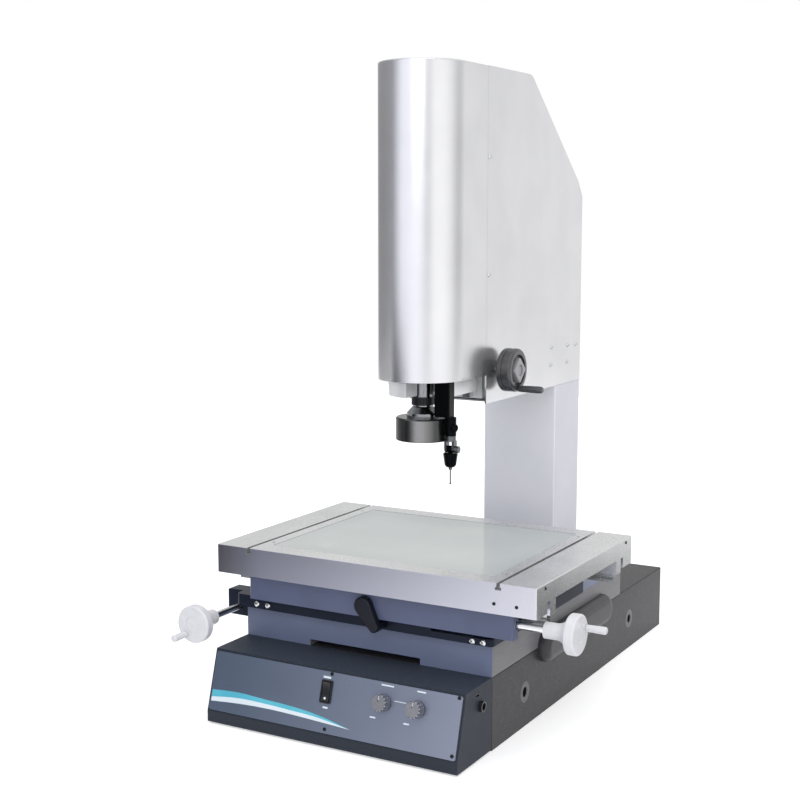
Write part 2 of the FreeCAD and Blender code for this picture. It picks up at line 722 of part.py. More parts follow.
def x_blocks():
    """Four bearing blocks on the saddle, which hold the rails of the table."""
    seat_gap = RAIL_SEAT_LIFT - X_BLOCK_HEIGHT
    rail = (X_RAIL_WIDTH, X_RAIL_HEIGHT, X_RAIL_WAIST)
    section = block_section(X_BLOCK_WIDTH, RAIL_SEAT_LIFT, seat_gap, *rail)
    blocks = []
    for x in (-X_BLOCK_X, X_BLOCK_X):
        for y in X_RAIL_YS:
            origin = (x - X_BLOCK_LENGTH / 2, y, RAIL_SEAT)
            down = Vector(0, 0, -1)
            blocks.append(on_section(section, origin, Y_AXIS, down, X_AXIS * X_BLOCK_LENGTH))
    return blocks


def x_nut():
    """Nut of the X rod, on the front strip of the saddle."""
    low = (X_NUT_LEFT, X_ROD_Y - X_NUT_HALF, SADDLE_TOP)
    high = (X_NUT_LEFT + X_NUT_LENGTH, X_ROD_Y + X_NUT_HALF, SADDLE_TOP + X_NUT_HEIGHT)
    start, end = (low[0] - CUT, X_ROD_Y, X_ROD_Z), (high[0] + CUT, X_ROD_Y, X_ROD_Z)
    nut = rounded_box(low, high, X_AXIS, 2.0)
    return nut.cut(rod(ROD_RADIUS + RUNNING_CLEARANCE, start, end))


def y_rod_brackets():
    """Two stepped blocks on the left side of the bed, which carry the Y rod clear of the saddle."""
    outer, step = -BASE_HALF - Y_BRACKET_OUT, -SADDLE_HALF - SLIDE_GAP
    low, high = Y_ROD_Z - Y_BRACKET_BELOW, Y_ROD_Z + Y_BRACKET_ABOVE
    ledge = SADDLE_BOTTOM - SLIDE_GAP
    blocks = []
    for front in (Y_BRACKET_FRONT, Y_BRACKET_REAR):
        outline = [(outer, low), (-BASE_HALF, low), (-BASE_HALF, ledge), (step, ledge), (step, high), (outer, high)]
        block = on_section(outline, (0, front, 0), X_AXIS, Z_AXIS, Y_AXIS * Y_BRACKET_LENGTH)
        outer_edges = [e for e in edges_along(block, Y_AXIS) if abs(e.CenterOfMass.x - outer) < 1e-4]
        block = block.makeFillet(3.0, outer_edges)
        start, end = (Y_ROD_X, front - CUT, Y_ROD_Z), (Y_ROD_X, front + Y_BRACKET_LENGTH + CUT, Y_ROD_Z)
        blocks.append(block.cut(rod(ROD_RADIUS + RUNNING_CLEARANCE, start, end)))
    return blocks


def release_lever():
    """Paddle with a round head, on a pin in the front face of the saddle."""
    face = COVER_Y - 1.5
    lean = math.radians(LEVER_LEAN)
    up = Vector(-math.sin(lean), 0, math.cos(lean))
    foot = Vector(*lever_axis(face))
    head = foot + up * LEVER_LENGTH
    forward = Vector(0, -LEVER_THICKNESS, 0)
    hub = Part.makeCylinder(LEVER_HUB_RADIUS, LEVER_THICKNESS, foot, forward)
    paddle_head = Part.makeCylinder(LEVER_HEAD_RADIUS, LEVER_THICKNESS, head, forward)
    side = up.cross(Y_AXIS)
    swell = math.asin((LEVER_HEAD_RADIUS - LEVER_HUB_RADIUS) / LEVER_LENGTH)
    corners = []
    for centre, radius, sense in (
        (foot, LEVER_HUB_RADIUS, 1),
        (head, LEVER_HEAD_RADIUS, 1),
        (head, LEVER_HEAD_RADIUS, -1),
        (foot, LEVER_HUB_RADIUS, -1),
    ):
        reach = side * (sense * math.cos(swell)) - up * math.sin(swell)
        corners.append(centre + reach * radius)
    web = prism([tuple(corner) for corner in corners], forward)
    paddle = fuse(hub, paddle_head, web)
    paddle = paddle.makeFillet(3.0, edges_at(paddle, Y_AXIS, face - LEVER_THICKNESS))
    boss = rod(LEVER_HUB_RADIUS, lever_axis(SADDLE_FRONT - 0.4), lever_axis(face))
    pin = rod(LEVER_PIN_RADIUS, lever_axis(SADDLE_FRONT + LEVER_PIN_DEPTH), lever_axis(face))
    return fuse(paddle, boss, pin)


def glass_pocket():
    """Recess of the table in which the glass lies flush."""
    half_x = GLASS_WIDTH / 2 + GLASS_SIDE_GAP
    half_y = GLASS_DEPTH / 2 + GLASS_SIDE_GAP
    bottom = TABLE_TOP - GLASS_THICKNESS - GLASS_SINK
    low = (TABLE_X - half_x, TABLE_Y - half_y, bottom)
    high = (TABLE_X + half_x, TABLE_Y + half_y, TABLE_TOP + CUT)
    return rounded_box(low, high, Z_AXIS, 3.0)


def light_window():
    """Opening below the glass, as large as the travel plus a margin."""
    half_x = TRAVEL_X / 2 + WINDOW_MARGIN
    half_y = TRAVEL_Y / 2 + WINDOW_MARGIN
    low = (TABLE_X - half_x, TABLE_Y - half_y, TABLE_UNDER - CUT)
    high = (TABLE_X + half_x, TABLE_Y + half_y, TABLE_TOP)
    return rounded_box(low, high, Z_AXIS, 6.0)


def t_groove(x):
    """T-groove that runs the whole depth of the table."""
    neck_low = (x - GROOVE_NECK / 2, TABLE_FRONT - CUT, TABLE_TOP - GROOVE_NECK_DEPTH)
    neck_high = (x + GROOVE_NECK / 2, TABLE_REAR + CUT, TABLE_TOP + CUT)
    head_bottom = TABLE_TOP - GROOVE_NECK_DEPTH - GROOVE_HEAD_DEPTH
    head_low = (x - GROOVE_HEAD / 2, TABLE_FRONT - CUT, head_bottom)
    head_high = (x + GROOVE_HEAD / 2, TABLE_REAR + CUT, TABLE_TOP - GROOVE_NECK_DEPTH)
    return fuse(box(neck_low, neck_high), box(head_low, head_high))


def table_plate():
    """Cast table with front and rear aprons, rail ribs, window, glass seat and T-grooves."""
    left, right = TABLE_X - TABLE_WIDTH / 2, TABLE_X + TABLE_WIDTH / 2
    plate = box((left, TABLE_FRONT, TABLE_UNDER), (right, TABLE_REAR, TABLE_TOP))
    ribs = []
    for y in (TABLE_FRONT, TABLE_REAR - APRON_DEPTH):
        ribs.append(box((left, y, APRON_BOTTOM), (right, y + APRON_DEPTH, TABLE_UNDER)))
    for y in X_RAIL_YS:
        low = (left, y - RAIL_RIB_WIDTH / 2, RAIL_SEAT)
        high = (right, y + RAIL_RIB_WIDTH / 2, TABLE_UNDER)
        ribs.append(box(low, high))
    plate = fuse(plate, *ribs)
    outer = edges_along(plate, Z_AXIS) + edges_at(plate, Z_AXIS, TABLE_TOP)
    plate = plate.makeFillet(TABLE_EDGE_RADIUS, [e for e in outer if e.CenterOfMass.z > TABLE_UNDER])
    plate = plate.cut([light_window(), glass_pocket()])
    for side in (-1, 1):
        plate = plate.cut(t_groove(TABLE_X + side * GROOVE_X))
        for end in (-1, 1):
            x, y = TABLE_X + side * CLAMP_HOLE_X, TABLE_Y + end * CLAMP_HOLE_Y
            bottom, top = TABLE_TOP - CLAMP_HOLE_DEPTH, TABLE_TOP + CUT
            plate = plate.cut(rod(CLAMP_HOLE_RADIUS, (x, y, bottom), (x, y, top)))
    return plate


def glass_plate():
    """Loose glass plate in the table."""
    half_x, half_y = GLASS_WIDTH / 2, GLASS_DEPTH / 2
    top = TABLE_TOP - GLASS_SINK
    low = (TABLE_X - half_x, TABLE_Y - half_y, top - GLASS_THICKNESS)
    high = (TABLE_X + half_x, TABLE_Y + half_y, top)
    glass = rounded_box(low, high, Z_AXIS, 3.0)
    return glass.makeChamfer(0.6, edges_at(glass, Z_AXIS, top))


def x_rails():
    """Two rails under the table, as long as the table."""
    start = TABLE_X - TABLE_WIDTH / 2 + X_RAIL_END_GAP
    length = TABLE_WIDTH - 2 * X_RAIL_END_GAP
    section = rail_section(X_RAIL_WIDTH, X_RAIL_HEIGHT, X_RAIL_WAIST)
    down = Vector(0, 0, -1)
    return [on_section(section, (start, y, RAIL_SEAT), Y_AXIS, down, X_AXIS * length) for y in X_RAIL_YS]


def drive_cover():
    """Folded front cover below the apron: a front sheet and two end caps round the X rod."""
    left, right = TABLE_X - COVER_HALF, TABLE_X + COVER_HALF
    bottom = SADDLE_TOP + COVER_DROP
    rear = TABLE_FRONT + APRON_DEPTH
    outer = box((left, COVER_Y, bottom), (right, rear, APRON_BOTTOM))
    outer = outer.makeFillet(3.0, [e for e in edges_at(outer, Y_AXIS, COVER_Y) if e.Length < TABLE_WIDTH / 2])
    low = (left + COVER_SHEET, COVER_Y + COVER_SHEET, bottom - CUT)
    high = (right - COVER_SHEET, rear + CUT, APRON_BOTTOM + CUT)
    cover = outer.cut(box(low, high))
    hole_end = (right + CUT, X_ROD_Y, X_ROD_Z)
    return cover.cut(rod(ROD_RADIUS + 1.5, (right - 4 * CUT, X_ROD_Y, X_ROD_Z), hole_end))


def x_rod_bearings():
    """Two bearing blocks below the apron, one at each end of the front cover."""
    blocks = []
    inner = COVER_HALF - COVER_SHEET - 0.5
    for x in (TABLE_X - inner, TABLE_X + inner - ROD_BEARING_LENGTH):
        low = (x, X_ROD_Y - ROD_BEARING_HALF, X_ROD_Z - ROD_BEARING_HALF)
        high = (x + ROD_BEARING_LENGTH, X_ROD_Y + ROD_BEARING_HALF, APRON_BOTTOM)
        start, end = (low[0] - CUT, X_ROD_Y, X_ROD_Z), (high[0] + CUT, X_ROD_Y, X_ROD_Z)
        blocks.append(box(low, high).cut(rod(ROD_RADIUS + RUNNING_CLEARANCE, start, end)))
    return blocks


def crank_body():
    """Crank along +Z from its hub: hub, flared neck and round rim, with a spindle for the grip."""
    flare_end = CRANK_HUB_LENGTH + CRANK_FLARE_LENGTH
    face = flare_end + CRANK_RIM_LENGTH
    hub_start = Vector(CRANK_HUB_RADIUS, 0, CRANK_HUB_LENGTH)
    rim_start = Vector(CRANK_RIM_RADIUS, 0, flare_end)
    waist = Vector(CRANK_HUB_RADIUS + 4.0, 0, CRANK_HUB_LENGTH + CRANK_FLARE_LENGTH * 0.62)
    corners = [
        Vector(CRANK_RIM_RADIUS, 0, face),
        Vector(CRANK_DISH_RADIUS, 0, face),
        Vector(CRANK_DISH_RADIUS, 0, face - CRANK_DISH_DEPTH),
        Vector(0, 0, face - CRANK_DISH_DEPTH),
        Vector(0, 0, 0),
        Vector(CRANK_HUB_RADIUS, 0, 0),
        hub_start,
    ]
    outline = [Part.Arc(hub_start, waist, rim_start).toShape()]
    last = rim_start
    for corner in corners:
        outline.append(Part.LineSegment(last, corner).toShape())
        last = corner
    body = Part.Face(Part.Wire(outline)).revolve(Vector(0, 0, 0), Z_AXIS, 360)
    rim_edges = [
        edge
        for edge in edges_at(body, Z_AXIS, face) + edges_at(body, Z_AXIS, flare_end)
        if abs(edge.Curve.Radius - CRANK_RIM_RADIUS) < 1e-4
    ]
    body = body.makeFillet(CRANK_RIM_ROUND, rim_edges)
    bore = Part.makeCylinder(ROD_RADIUS + RUNNING_CLEARANCE, CRANK_HUB_LENGTH + CUT, Vector(0, 0, -CUT))
    set_screw = rod(SET_SCREW_RADIUS, (0, 0, CRANK_HUB_LENGTH / 2), (0, -CRANK_RIM_RADIUS, CRANK_HUB_LENGTH / 2))
    spindle_start = (GRIP_OFFSET, 0, face - CUT)
    spindle_end = (GRIP_OFFSET, 0, face + GRIP_LENGTH - 4.0)
    return fuse(body.cut([bore, set_screw]), rod(GRIP_PIN_RADIUS, spindle_start, spindle_end))


def crank_grip():
    """Slightly swelling grip that turns on the spindle of the crank."""
    start = CRANK_HUB_LENGTH + CRANK_FLARE_LENGTH + CRANK_RIM_LENGTH + GRIP_GAP
    end = start + GRIP_LENGTH
    bore = GRIP_PIN_RADIUS + RUNNING_CLEARANCE
    profile = [
        (bore, start),
        (GRIP_RADIUS - 0.8, start),
        (GRIP_RADIUS - 0.4, start + 2.0),
        (GRIP_RADIUS, end - 6.0),
        (GRIP_RADIUS, end - 1.6),
        (GRIP_RADIUS - 1.4, end),
        (0, end),
        (0, end - 2.0),
        (bore, end - 2.0),
    ]
    grip = turned(profile)
    grip.translate(Vector(GRIP_OFFSET, 0, 0))
    return grip


def x_crank_origin():
    """Start of the X crank's hub."""
    return (TABLE_X + COVER_HALF + X_CRANK_GAP, X_ROD_Y, X_ROD_Z)


def y_crank_origin():
    """Start of the Y crank's hub, in front of the bed."""
    return (Y_ROD_X, BASE_FRONT - Y_CRANK_GAP, Y_ROD_Z)


def x_rod():
    """Polished rod of the X drive, from the left bearing into the crank."""
    left = TABLE_X - COVER_HALF + COVER_SHEET + 1.5
    return rod(ROD_RADIUS, (left, X_ROD_Y, X_ROD_Z), (x_crank_origin()[0] + CRANK_HUB_LENGTH - 1.0, X_ROD_Y, X_ROD_Z))


def y_rod():
    """Polished rod of the Y drive, through both brackets into the crank."""
    front = y_crank_origin()[1] - CRANK_HUB_LENGTH + 1.0
    rear = Y_BRACKET_REAR + Y_BRACKET_LENGTH + 3.0
    return rod(ROD_RADIUS, (Y_ROD_X, front, Y_ROD_Z), (Y_ROD_X, rear, Y_ROD_Z))


def slope_point(x, up, out):
    """Point on the sloping front of the control box: across, up the slope and out of it."""
    along_y, along_z = SLOPE_RUN / SLOPE_LENGTH, SLOPE_RISE / SLOPE_LENGTH
    y = BASE_FRONT - BOX_BOTTOM_DEPTH + up * along_y - out * along_z
    z = BOX_LIP_HEIGHT + up * along_z + out * along_y
    return Vector(x, y, z)


def on_slope(shape):
    """Shape made flat on XY with +Z out, laid on the sloping front."""
    moved = shape.copy()
    slope = FreeCAD.Placement(slope_point(0, 0, 0), FreeCAD.Rotation(X_AXIS, SLOPE_TILT))
    moved.Placement = slope.multiply(shape.Placement)
    return moved


def box_outline(inset, top_inset):
    """Side outline of the control box as (Y, Z) points, drawn in by a wall."""
    slope_top = slope_point(0, SLOPE_LENGTH, -PANEL_THICKNESS - inset)
    slope_low = slope_point(0, 0, -PANEL_THICKNESS - inset)
    lean = SLOPE_RUN / SLOPE_RISE
    top = BASE_HEIGHT - top_inset
    top_y = slope_top.y + (top - slope_top.z) * lean
    bottom = BOX_FLOOR_GAP + top_inset
    return [
        (BASE_FRONT + (CUT if inset else 0), bottom),
        (slope_low.y, bottom),
        (slope_low.y, slope_low.z),
        (top_y, top),
        (BASE_FRONT + (CUT if inset else 0), top),
    ]


def console_cut(low_x, high_x, low_up, high_up):
    """Rectangular cut through the sloping sheet."""
    deep = 2 * (BOX_SHEET + PANEL_THICKNESS)
    cutter = box((low_x, low_up, -deep), (high_x, high_up, CUT))
    return on_slope(cutter)


def side_cut(side, depth, height, width, tall):
    """Rectangular cut through one side of the control box."""
    y = BASE_FRONT - depth
    inner, outer = sorted((side * (BASE_HALF - 2 * BOX_SHEET), side * (BASE_HALF + CUT)))
    low = (inner, y - width / 2, height - tall / 2)
    high = (outer, y + width / 2, height + tall / 2)
    return box(low, high)


def control_box():
    """Folded sheet box, open to the base at its back and behind the panel."""
    def wedge(half, inset, top_inset):
        outline = [(-half, y, z) for y, z in box_outline(inset, top_inset)]
        return prism(outline, X_AXIS * (2 * half))

    shell = wedge(BASE_HALF, 0.0, 0.0).cut(wedge(BASE_HALF - BOX_SHEET, BOX_SHEET, BOX_SHEET))
    knobs_left, knobs_right = KNOB_XS[0] - DIMMER_SIZE, KNOB_XS[1] + DIMMER_SIZE
    low_up, high_up = KNOB_UP - DIMMER_SIZE * 0.75, KNOB_UP + DIMMER_SIZE * 0.75
    half = ROCKER_WIDTH / 2 + ROCKER_FRAME + CUT
    rocker_half = ROCKER_LENGTH / 2 + ROCKER_FRAME + CUT
    return shell.cut([
        console_cut(knobs_left, knobs_right, low_up, high_up),
        console_cut(ROCKER_X - half, ROCKER_X + half, ROCKER_UP - rocker_half, ROCKER_UP + rocker_half),
        side_cut(1, PORT_DEPTH, PORT_HEIGHT - 3.0, PORT_WIDTH + 1.0, PORT_TALL + 1.0),
        side_cut(-1, INLET_DEPTH, INLET_HEIGHT, INLET_WIDTH + 1.0, INLET_TALL + 1.0),
        socket_bore(SOCKET_RADIUS - 1.0),
    ])


def socket_bore(radius):
    """Round hole in the right side for the socket's body."""
    y = BASE_FRONT - SOCKET_DEPTH
    return rod(radius, (BASE_HALF - 4 * BOX_SHEET, y, SOCKET_HEIGHT), (BASE_HALF + CUT, y, SOCKET_HEIGHT))


def control_panel():
    """Flat panel on the sloping front, pierced for the knobs and the switch."""
    half = BASE_HALF - PANEL_MARGIN
    flat = rounded_box((-half, PANEL_MARGIN, -PANEL_THICKNESS), (half, SLOPE_LENGTH - PANEL_MARGIN, 0), Z_AXIS, PANEL_CORNER)
    for x in KNOB_XS:
        flat = flat.cut(rod(DIMMER_NECK_RADIUS + 0.2, (x, KNOB_UP, -2 * PANEL_THICKNESS), (x, KNOB_UP, CUT)))
    half_x, half_up = ROCKER_WIDTH / 2 + ROCKER_FRAME, ROCKER_LENGTH / 2 + ROCKER_FRAME
    low = (ROCKER_X - half_x + 1.0, ROCKER_UP - half_up + 1.0, -2 * PANEL_THICKNESS)
    high = (ROCKER_X + half_x - 1.0, ROCKER_UP + half_up - 1.0, CUT)
    return on_slope(flat.cut(box(low, high)))


def light_knob(x):
    """Fluted knob with a pointer line, on a spindle that turns in the dimmer's neck."""
    low, high = DIMMER_PROUD + KNOB_GAP, DIMMER_PROUD + KNOB_GAP + KNOB_HEIGHT
    knob = Part.makeCylinder(KNOB_RADIUS, KNOB_HEIGHT, Vector(0, 0, low))
    knob = knob.makeChamfer(1.0, edges_at(knob, Z_AXIS, high))
    for step in range(KNOB_FLUTES):
        angle = math.radians(360.0 * step / KNOB_FLUTES)
        px, py = KNOB_RADIUS * math.cos(angle), KNOB_RADIUS * math.sin(angle)
        knob = knob.cut(rod(KNOB_FLUTE_RADIUS, (px, py, low + 2.0), (px, py, high + CUT)))
    pointer = box((-0.7, 2.0, high - 0.8), (0.7, KNOB_RADIUS + CUT, high + CUT))
    spindle = Part.makeCylinder(KNOB_SHAFT_RADIUS, DIMMER_DEPTH + low, Vector(0, 0, -DIMMER_DEPTH))
    knob = fuse(knob.cut(pointer), spindle)
    knob.translate(Vector(x, KNOB_UP, 0))
    return on_slope(knob)


def dimmers():
    """Two dimmer bodies behind the panel, each with a neck through it."""
    bodies = []
    top = -PANEL_THICKNESS
    for x in KNOB_XS:
        half = DIMMER_SIZE / 2
        body = box((x - half, KNOB_UP - half, top - DIMMER_DEPTH), (x + half, KNOB_UP + half, top))
        neck = rod(DIMMER_NECK_RADIUS, (x, KNOB_UP, top), (x, KNOB_UP, DIMMER_PROUD))
        bore = rod(KNOB_SHAFT_RADIUS + RUNNING_CLEARANCE, (x, KNOB_UP, -DIMMER_DEPTH - 0.5), (x, KNOB_UP, DIMMER_PROUD + CUT))
        bodies.append(on_slope(fuse(body, neck).cut(bore)))
    return bodies


def control_board():
    """Lamp supply board on the floor of the box, with its heat sink and transformer."""
    low_z = BOX_FLOOR_GAP + BOX_SHEET
    board_z = low_z + BOARD_LIFT
    rear = BASE_FRONT - BOARD_SETBACK
    front = rear - BOARD_DEPTH
    half, top = BOARD_WIDTH / 2, board_z + BOARD_THICKNESS
    pieces = [box((-half, front, board_z), (half, rear, top))]
    for x in (BOARD_POST_INSET - half, half - BOARD_POST_INSET):
        for y in (front + BOARD_POST_INSET, rear - BOARD_POST_INSET):
            pieces.append(rod(BOARD_POST_RADIUS, (x, y, low_z), (x, y, board_z)))
    left, right = TRANSFORMER_X - TRANSFORMER_WIDTH / 2, TRANSFORMER_X + TRANSFORMER_WIDTH / 2
    near, far = front + TRANSFORMER_INSET, rear - TRANSFORMER_INSET
    pieces.append(box((left, near, top), (right, far, top + TRANSFORMER_HEIGHT)))
    for step in range(FIN_COUNT):
        x = FIN_X + FIN_STEP * step
        fin_top = top + FIN_HEIGHT
        pieces.append(box((x, front + FIN_INSET, top), (x + FIN_THICKNESS, rear - FIN_INSET, fin_top)))
    return fuse(*pieces)


def rocker_bezel():
    """Switch body with a raised frame and two pivot sockets for the rocker."""
    half_x, half_up = ROCKER_WIDTH / 2 + ROCKER_FRAME, ROCKER_LENGTH / 2 + ROCKER_FRAME
    frame = rounded_box((-half_x, -half_up, 0), (half_x, half_up, ROCKER_FRAME_HEIGHT), Z_AXIS, 2.0)
    case = box((1.2 - half_x, 1.2 - half_up, -ROCKER_CASE_DEPTH), (half_x - 1.2, half_up - 1.2, 0))
    gap = ROCKER_CLEARANCE
    well_depth = ROCKER_THICKNESS + 3.0
    well_low = (-ROCKER_WIDTH / 2 - gap, -ROCKER_LENGTH / 2 - gap, -well_depth)
    well_high = (ROCKER_WIDTH / 2 + gap, ROCKER_LENGTH / 2 + gap, ROCKER_FRAME_HEIGHT + CUT)
    bezel = fuse(frame, case).cut(box(well_low, well_high))
    reach = ROCKER_WIDTH / 2 + 1.2
    sockets = rod(ROCKER_PIN_RADIUS + RUNNING_CLEARANCE, (-reach, 0, ROCKER_PIVOT), (reach, 0, ROCKER_PIVOT))
    bezel = bezel.cut(sockets)
    bezel.translate(Vector(ROCKER_X, ROCKER_UP, 0))
    return on_slope(bezel)


def power_rocker():
    """Rocker with a crowned, dished face and a pivot pin on each side."""
    half, top = ROCKER_LENGTH / 2, ROCKER_PROUD
    low = ROCKER_PIVOT - 3.0
    ends = [Vector(0, -half, top), Vector(0, 0, top - ROCKER_CROWN), Vector(0, half, top)]
    dish = Part.Arc(*ends).toShape()
    corners = [ends[2], Vector(0, half, 0), Vector(0, half * 0.45, low), Vector(0, -half * 0.45, low)]
    corners += [Vector(0, -half, 0), ends[0]]
    sides = [Part.LineSegment(a, b).toShape() for a, b in zip(corners, corners[1:])]
    face = Part.Face(Part.Wire([dish] + sides))
    face.translate(Vector(-ROCKER_WIDTH / 2, 0, 0))
    body = face.extrude(X_AXIS * ROCKER_WIDTH)
    reach = ROCKER_WIDTH / 2 + 1.0
    rocker = fuse(body, rod(ROCKER_PIN_RADIUS, (-reach, 0, ROCKER_PIVOT), (reach, 0, ROCKER_PIVOT)))
    rocker.translate(Vector(ROCKER_X, ROCKER_UP, 0))
    return on_slope(rocker)


def console_sockets():
    """Round socket and small port on the right, and the mains inlet on the left."""
    y = BASE_FRONT - SOCKET_DEPTH
    inner, face = BASE_HALF - 12.0, BASE_HALF + SOCKET_PROUD
    body = rod(SOCKET_RADIUS - 1.0 - GLUE_GAP, (inner, y, SOCKET_HEIGHT), (BASE_HALF, y, SOCKET_HEIGHT))
    collar = rod(SOCKET_RADIUS, (BASE_HALF, y, SOCKET_HEIGHT), (face, y, SOCKET_HEIGHT))
    bore = rod(SOCKET_BORE_RADIUS, (BASE_HALF - 4.0, y, SOCKET_HEIGHT), (face + CUT, y, SOCKET_HEIGHT))
    socket = fuse(body, collar).cut(bore)
    port_y = BASE_FRONT - PORT_DEPTH
    port_z = PORT_HEIGHT - 3.0
    half_w, half_t = PORT_WIDTH / 2, PORT_TALL / 2
    port = box((BASE_HALF - 12.0, port_y - half_w, port_z - half_t), (BASE_HALF, port_y + half_w, port_z + half_t))
    mouth_low = (BASE_HALF - 8.0, port_y - half_w + 1.0, port_z - half_t + 1.0)
    port = port.cut(box(mouth_low, (BASE_HALF + CUT, port_y + half_w - 1.0, port_z + half_t - 1.0)))
    return [socket, port, power_inlet()]


def power_inlet():
    """Three-pin mains inlet with its flange outside the left wall."""
    y, z = BASE_FRONT - INLET_DEPTH, INLET_HEIGHT
    half_w, half_t = INLET_WIDTH / 2, INLET_TALL / 2
    left, face = -BASE_HALF, -BASE_HALF - INLET_FLANGE
    body = box((left, y - half_w, z - half_t), (left + INLET_BODY_DEPTH, y + half_w, z + half_t))
    ear, lip = half_w + INLET_EAR, half_t + INLET_LIP
    flange = rounded_box((face, y - ear, z - lip), (left, y + ear, z + lip), X_AXIS, INLET_CORNER)
    well_w, well_t = half_w - INLET_WALL, half_t - INLET_SHELF
    well_low = (face - CUT, y - well_w, z - well_t)
    well_high = (left + INLET_WELL_DEPTH, y + well_w, z + well_t)
    inlet = fuse(body, flange).cut(rounded_box(well_low, well_high, X_AXIS, INLET_CORNER))
    pins = []
    start, end = left + INLET_PIN_SINK, left + INLET_WELL_DEPTH + CUT
    thick, tall = INLET_PIN_THICKNESS / 2, INLET_PIN_TALL / 2
    for side in (-1, 0, 1):
        pin_y = y + side * INLET_PIN_SPREAD
        pin_z = z - INLET_PIN_DROP if side else z + INLET_EARTH_LIFT
        pins.append(box((start, pin_y - thick, pin_z - tall), (end, pin_y + thick, pin_z + tall)))
    return fuse(inlet, *pins)


def column_post():
    """Cast box column that carries the head, open at the top."""
    inset = COLUMN_POST_INSET
    low = (inset - COLUMN_HALF, COLUMN_FRONT + inset, BASE_HEIGHT)
    high = (COLUMN_HALF - inset, COLUMN_REAR - inset, BASE_HEIGHT + COLUMN_POST_HEIGHT)
    hollow_low = (low[0] + COLUMN_WALL, low[1] + COLUMN_WALL, BASE_HEIGHT + COLUMN_WALL)
    hollow_high = (high[0] - COLUMN_WALL, high[1] - COLUMN_WALL, high[2] + CUT)
    return box(low, high).cut(box(hollow_low, hollow_high))


def column_cover():
    """Sheet sleeve round the column, from the base up to the head."""
    low = (-COLUMN_HALF, COLUMN_FRONT, BASE_HEIGHT)
    high = (COLUMN_HALF, COLUMN_REAR, HEAD_BOTTOM - HEAD_SEAM_GAP)
    outer = rounded_box(low, high, Z_AXIS, HEAD_EDGE_ROUND)
    sheet = COLUMN_SHEET
    inner_low = (low[0] + sheet, low[1] + sheet, low[2] - CUT)
    inner_high = (high[0] - sheet, high[1] - sheet, high[2] + CUT)
    return outer.cut(box(inner_low, inner_high))


def head_prism(inset, bottom, top, rear):
    """Front cover's plan outline, half round in front, extruded and drawn in by a wall."""
    radius = HEAD_HALF - inset
    left, right = Vector(-radius, LENS_Y, bottom), Vector(radius, LENS_Y, bottom)
    nose = Vector(0, LENS_Y - radius, bottom)
    back_left, back_right = Vector(-radius, rear, bottom), Vector(radius, rear, bottom)
    edges = [
        Part.Arc(left, nose, right).toShape(),
        Part.LineSegment(right, back_right).toShape(),
        Part.LineSegment(back_right, back_left).toShape(),
        Part.LineSegment(back_left, left).toShape(),
    ]
    return Part.Face(Part.Wire(edges)).extrude(Z_AXIS * (top - bottom))


def head_front_cover():
    """Half-round sheet cover with a closed top, open below and behind."""
    rear = HEAD_SEAM - HEAD_SEAM_GAP
    outer = head_prism(0.0, FRONT_COVER_BOTTOM, HEAD_TOP, rear)
    top_edges = [e for e in edges_at(outer, Z_AXIS, HEAD_TOP) if e.CenterOfMass.y < rear - CUT]
    outer = outer.makeFillet(HEAD_EDGE_ROUND, top_edges)
    inner = head_prism(HEAD_SHEET, FRONT_COVER_BOTTOM - CUT, HEAD_TOP - HEAD_SHEET, rear + CUT)
    return outer.cut(inner)


def head_side_outline(inset):
    """Side outline of the rear cover as (Y, Z) points, drawn in by a wall."""
    slope_run = HEAD_SLOPE_REAR - HEAD_SLOPE_FRONT
    slant = math.hypot(slope_run, HEAD_SLOPE_DROP)
    shift = inset * (slant - HEAD_SLOPE_DROP) / slope_run
    back_run = COLUMN_REAR - BASE_FRONT - HEAD_SLOPE_REAR
    back_slant = math.hypot(back_run, HEAD_BACK_DROP)
    back_shift = inset * (back_slant - back_run) / HEAD_BACK_DROP
    top = HEAD_TOP - inset
    front = HEAD_SEAM if not inset else HEAD_SEAM - CUT
    return [
        (front, HEAD_BOTTOM + inset),
        (front, top),
        (BASE_FRONT + HEAD_SLOPE_FRONT - shift, top),
        (BASE_FRONT + HEAD_SLOPE_REAR - inset, HEAD_TOP - HEAD_SLOPE_DROP - inset * 0.7),
        (COLUMN_REAR - inset, HEAD_TOP - HEAD_SLOPE_DROP - HEAD_BACK_DROP - back_shift),
        (COLUMN_REAR - inset, HEAD_BOTTOM + inset),
    ]


def head_rear_cover():
    """Folded sheet cover behind the seam, with a sloping back, a floor and a hole for the shaft."""
    outer = prism([(-HEAD_HALF, y, z) for y, z in head_side_outline(0.0)], X_AXIS * (2 * HEAD_HALF))
    bends = edges_along(outer, X_AXIS)
    middle = HEAD_BOTTOM + HEAD_HEIGHT / 2
    top_bends = [e for e in bends if e.CenterOfMass.z > middle and e.CenterOfMass.y > HEAD_SEAM + CUT]
    first_bend = min(top_bends, key=lambda edge: edge.CenterOfMass.y)
    outer = outer.makeFillet(HEAD_TOP_ROUND, [first_bend])
    inner_half = HEAD_HALF - HEAD_SHEET
    inner = prism([(-inner_half, y, z) for y, z in head_side_outline(HEAD_SHEET)], X_AXIS * (2 * inner_half))
    shell = outer.cut(inner)
    mouth_low = (-inner_half, HEAD_SEAM - CUT, HEAD_BOTTOM - CUT)
    mouth_high = (inner_half, BASE_FRONT + HEAD_FLOOR_FRONT, HEAD_BOTTOM + 2 * HEAD_SHEET)
    post_low = (-inner_half, COLUMN_FRONT, HEAD_BOTTOM - CUT)
    post_high = (inner_half, COLUMN_REAR - HEAD_SHEET, HEAD_BOTTOM + 2 * HEAD_SHEET)
    shaft = rod(SHAFT_RADIUS + 2.0, (inner_half - CUT, WHEEL_Y, WHEEL_Z), (HEAD_HALF + CUT, WHEEL_Y, WHEEL_Z))
    return shell.cut([box(mouth_low, mouth_high), box(post_low, post_high), shaft])


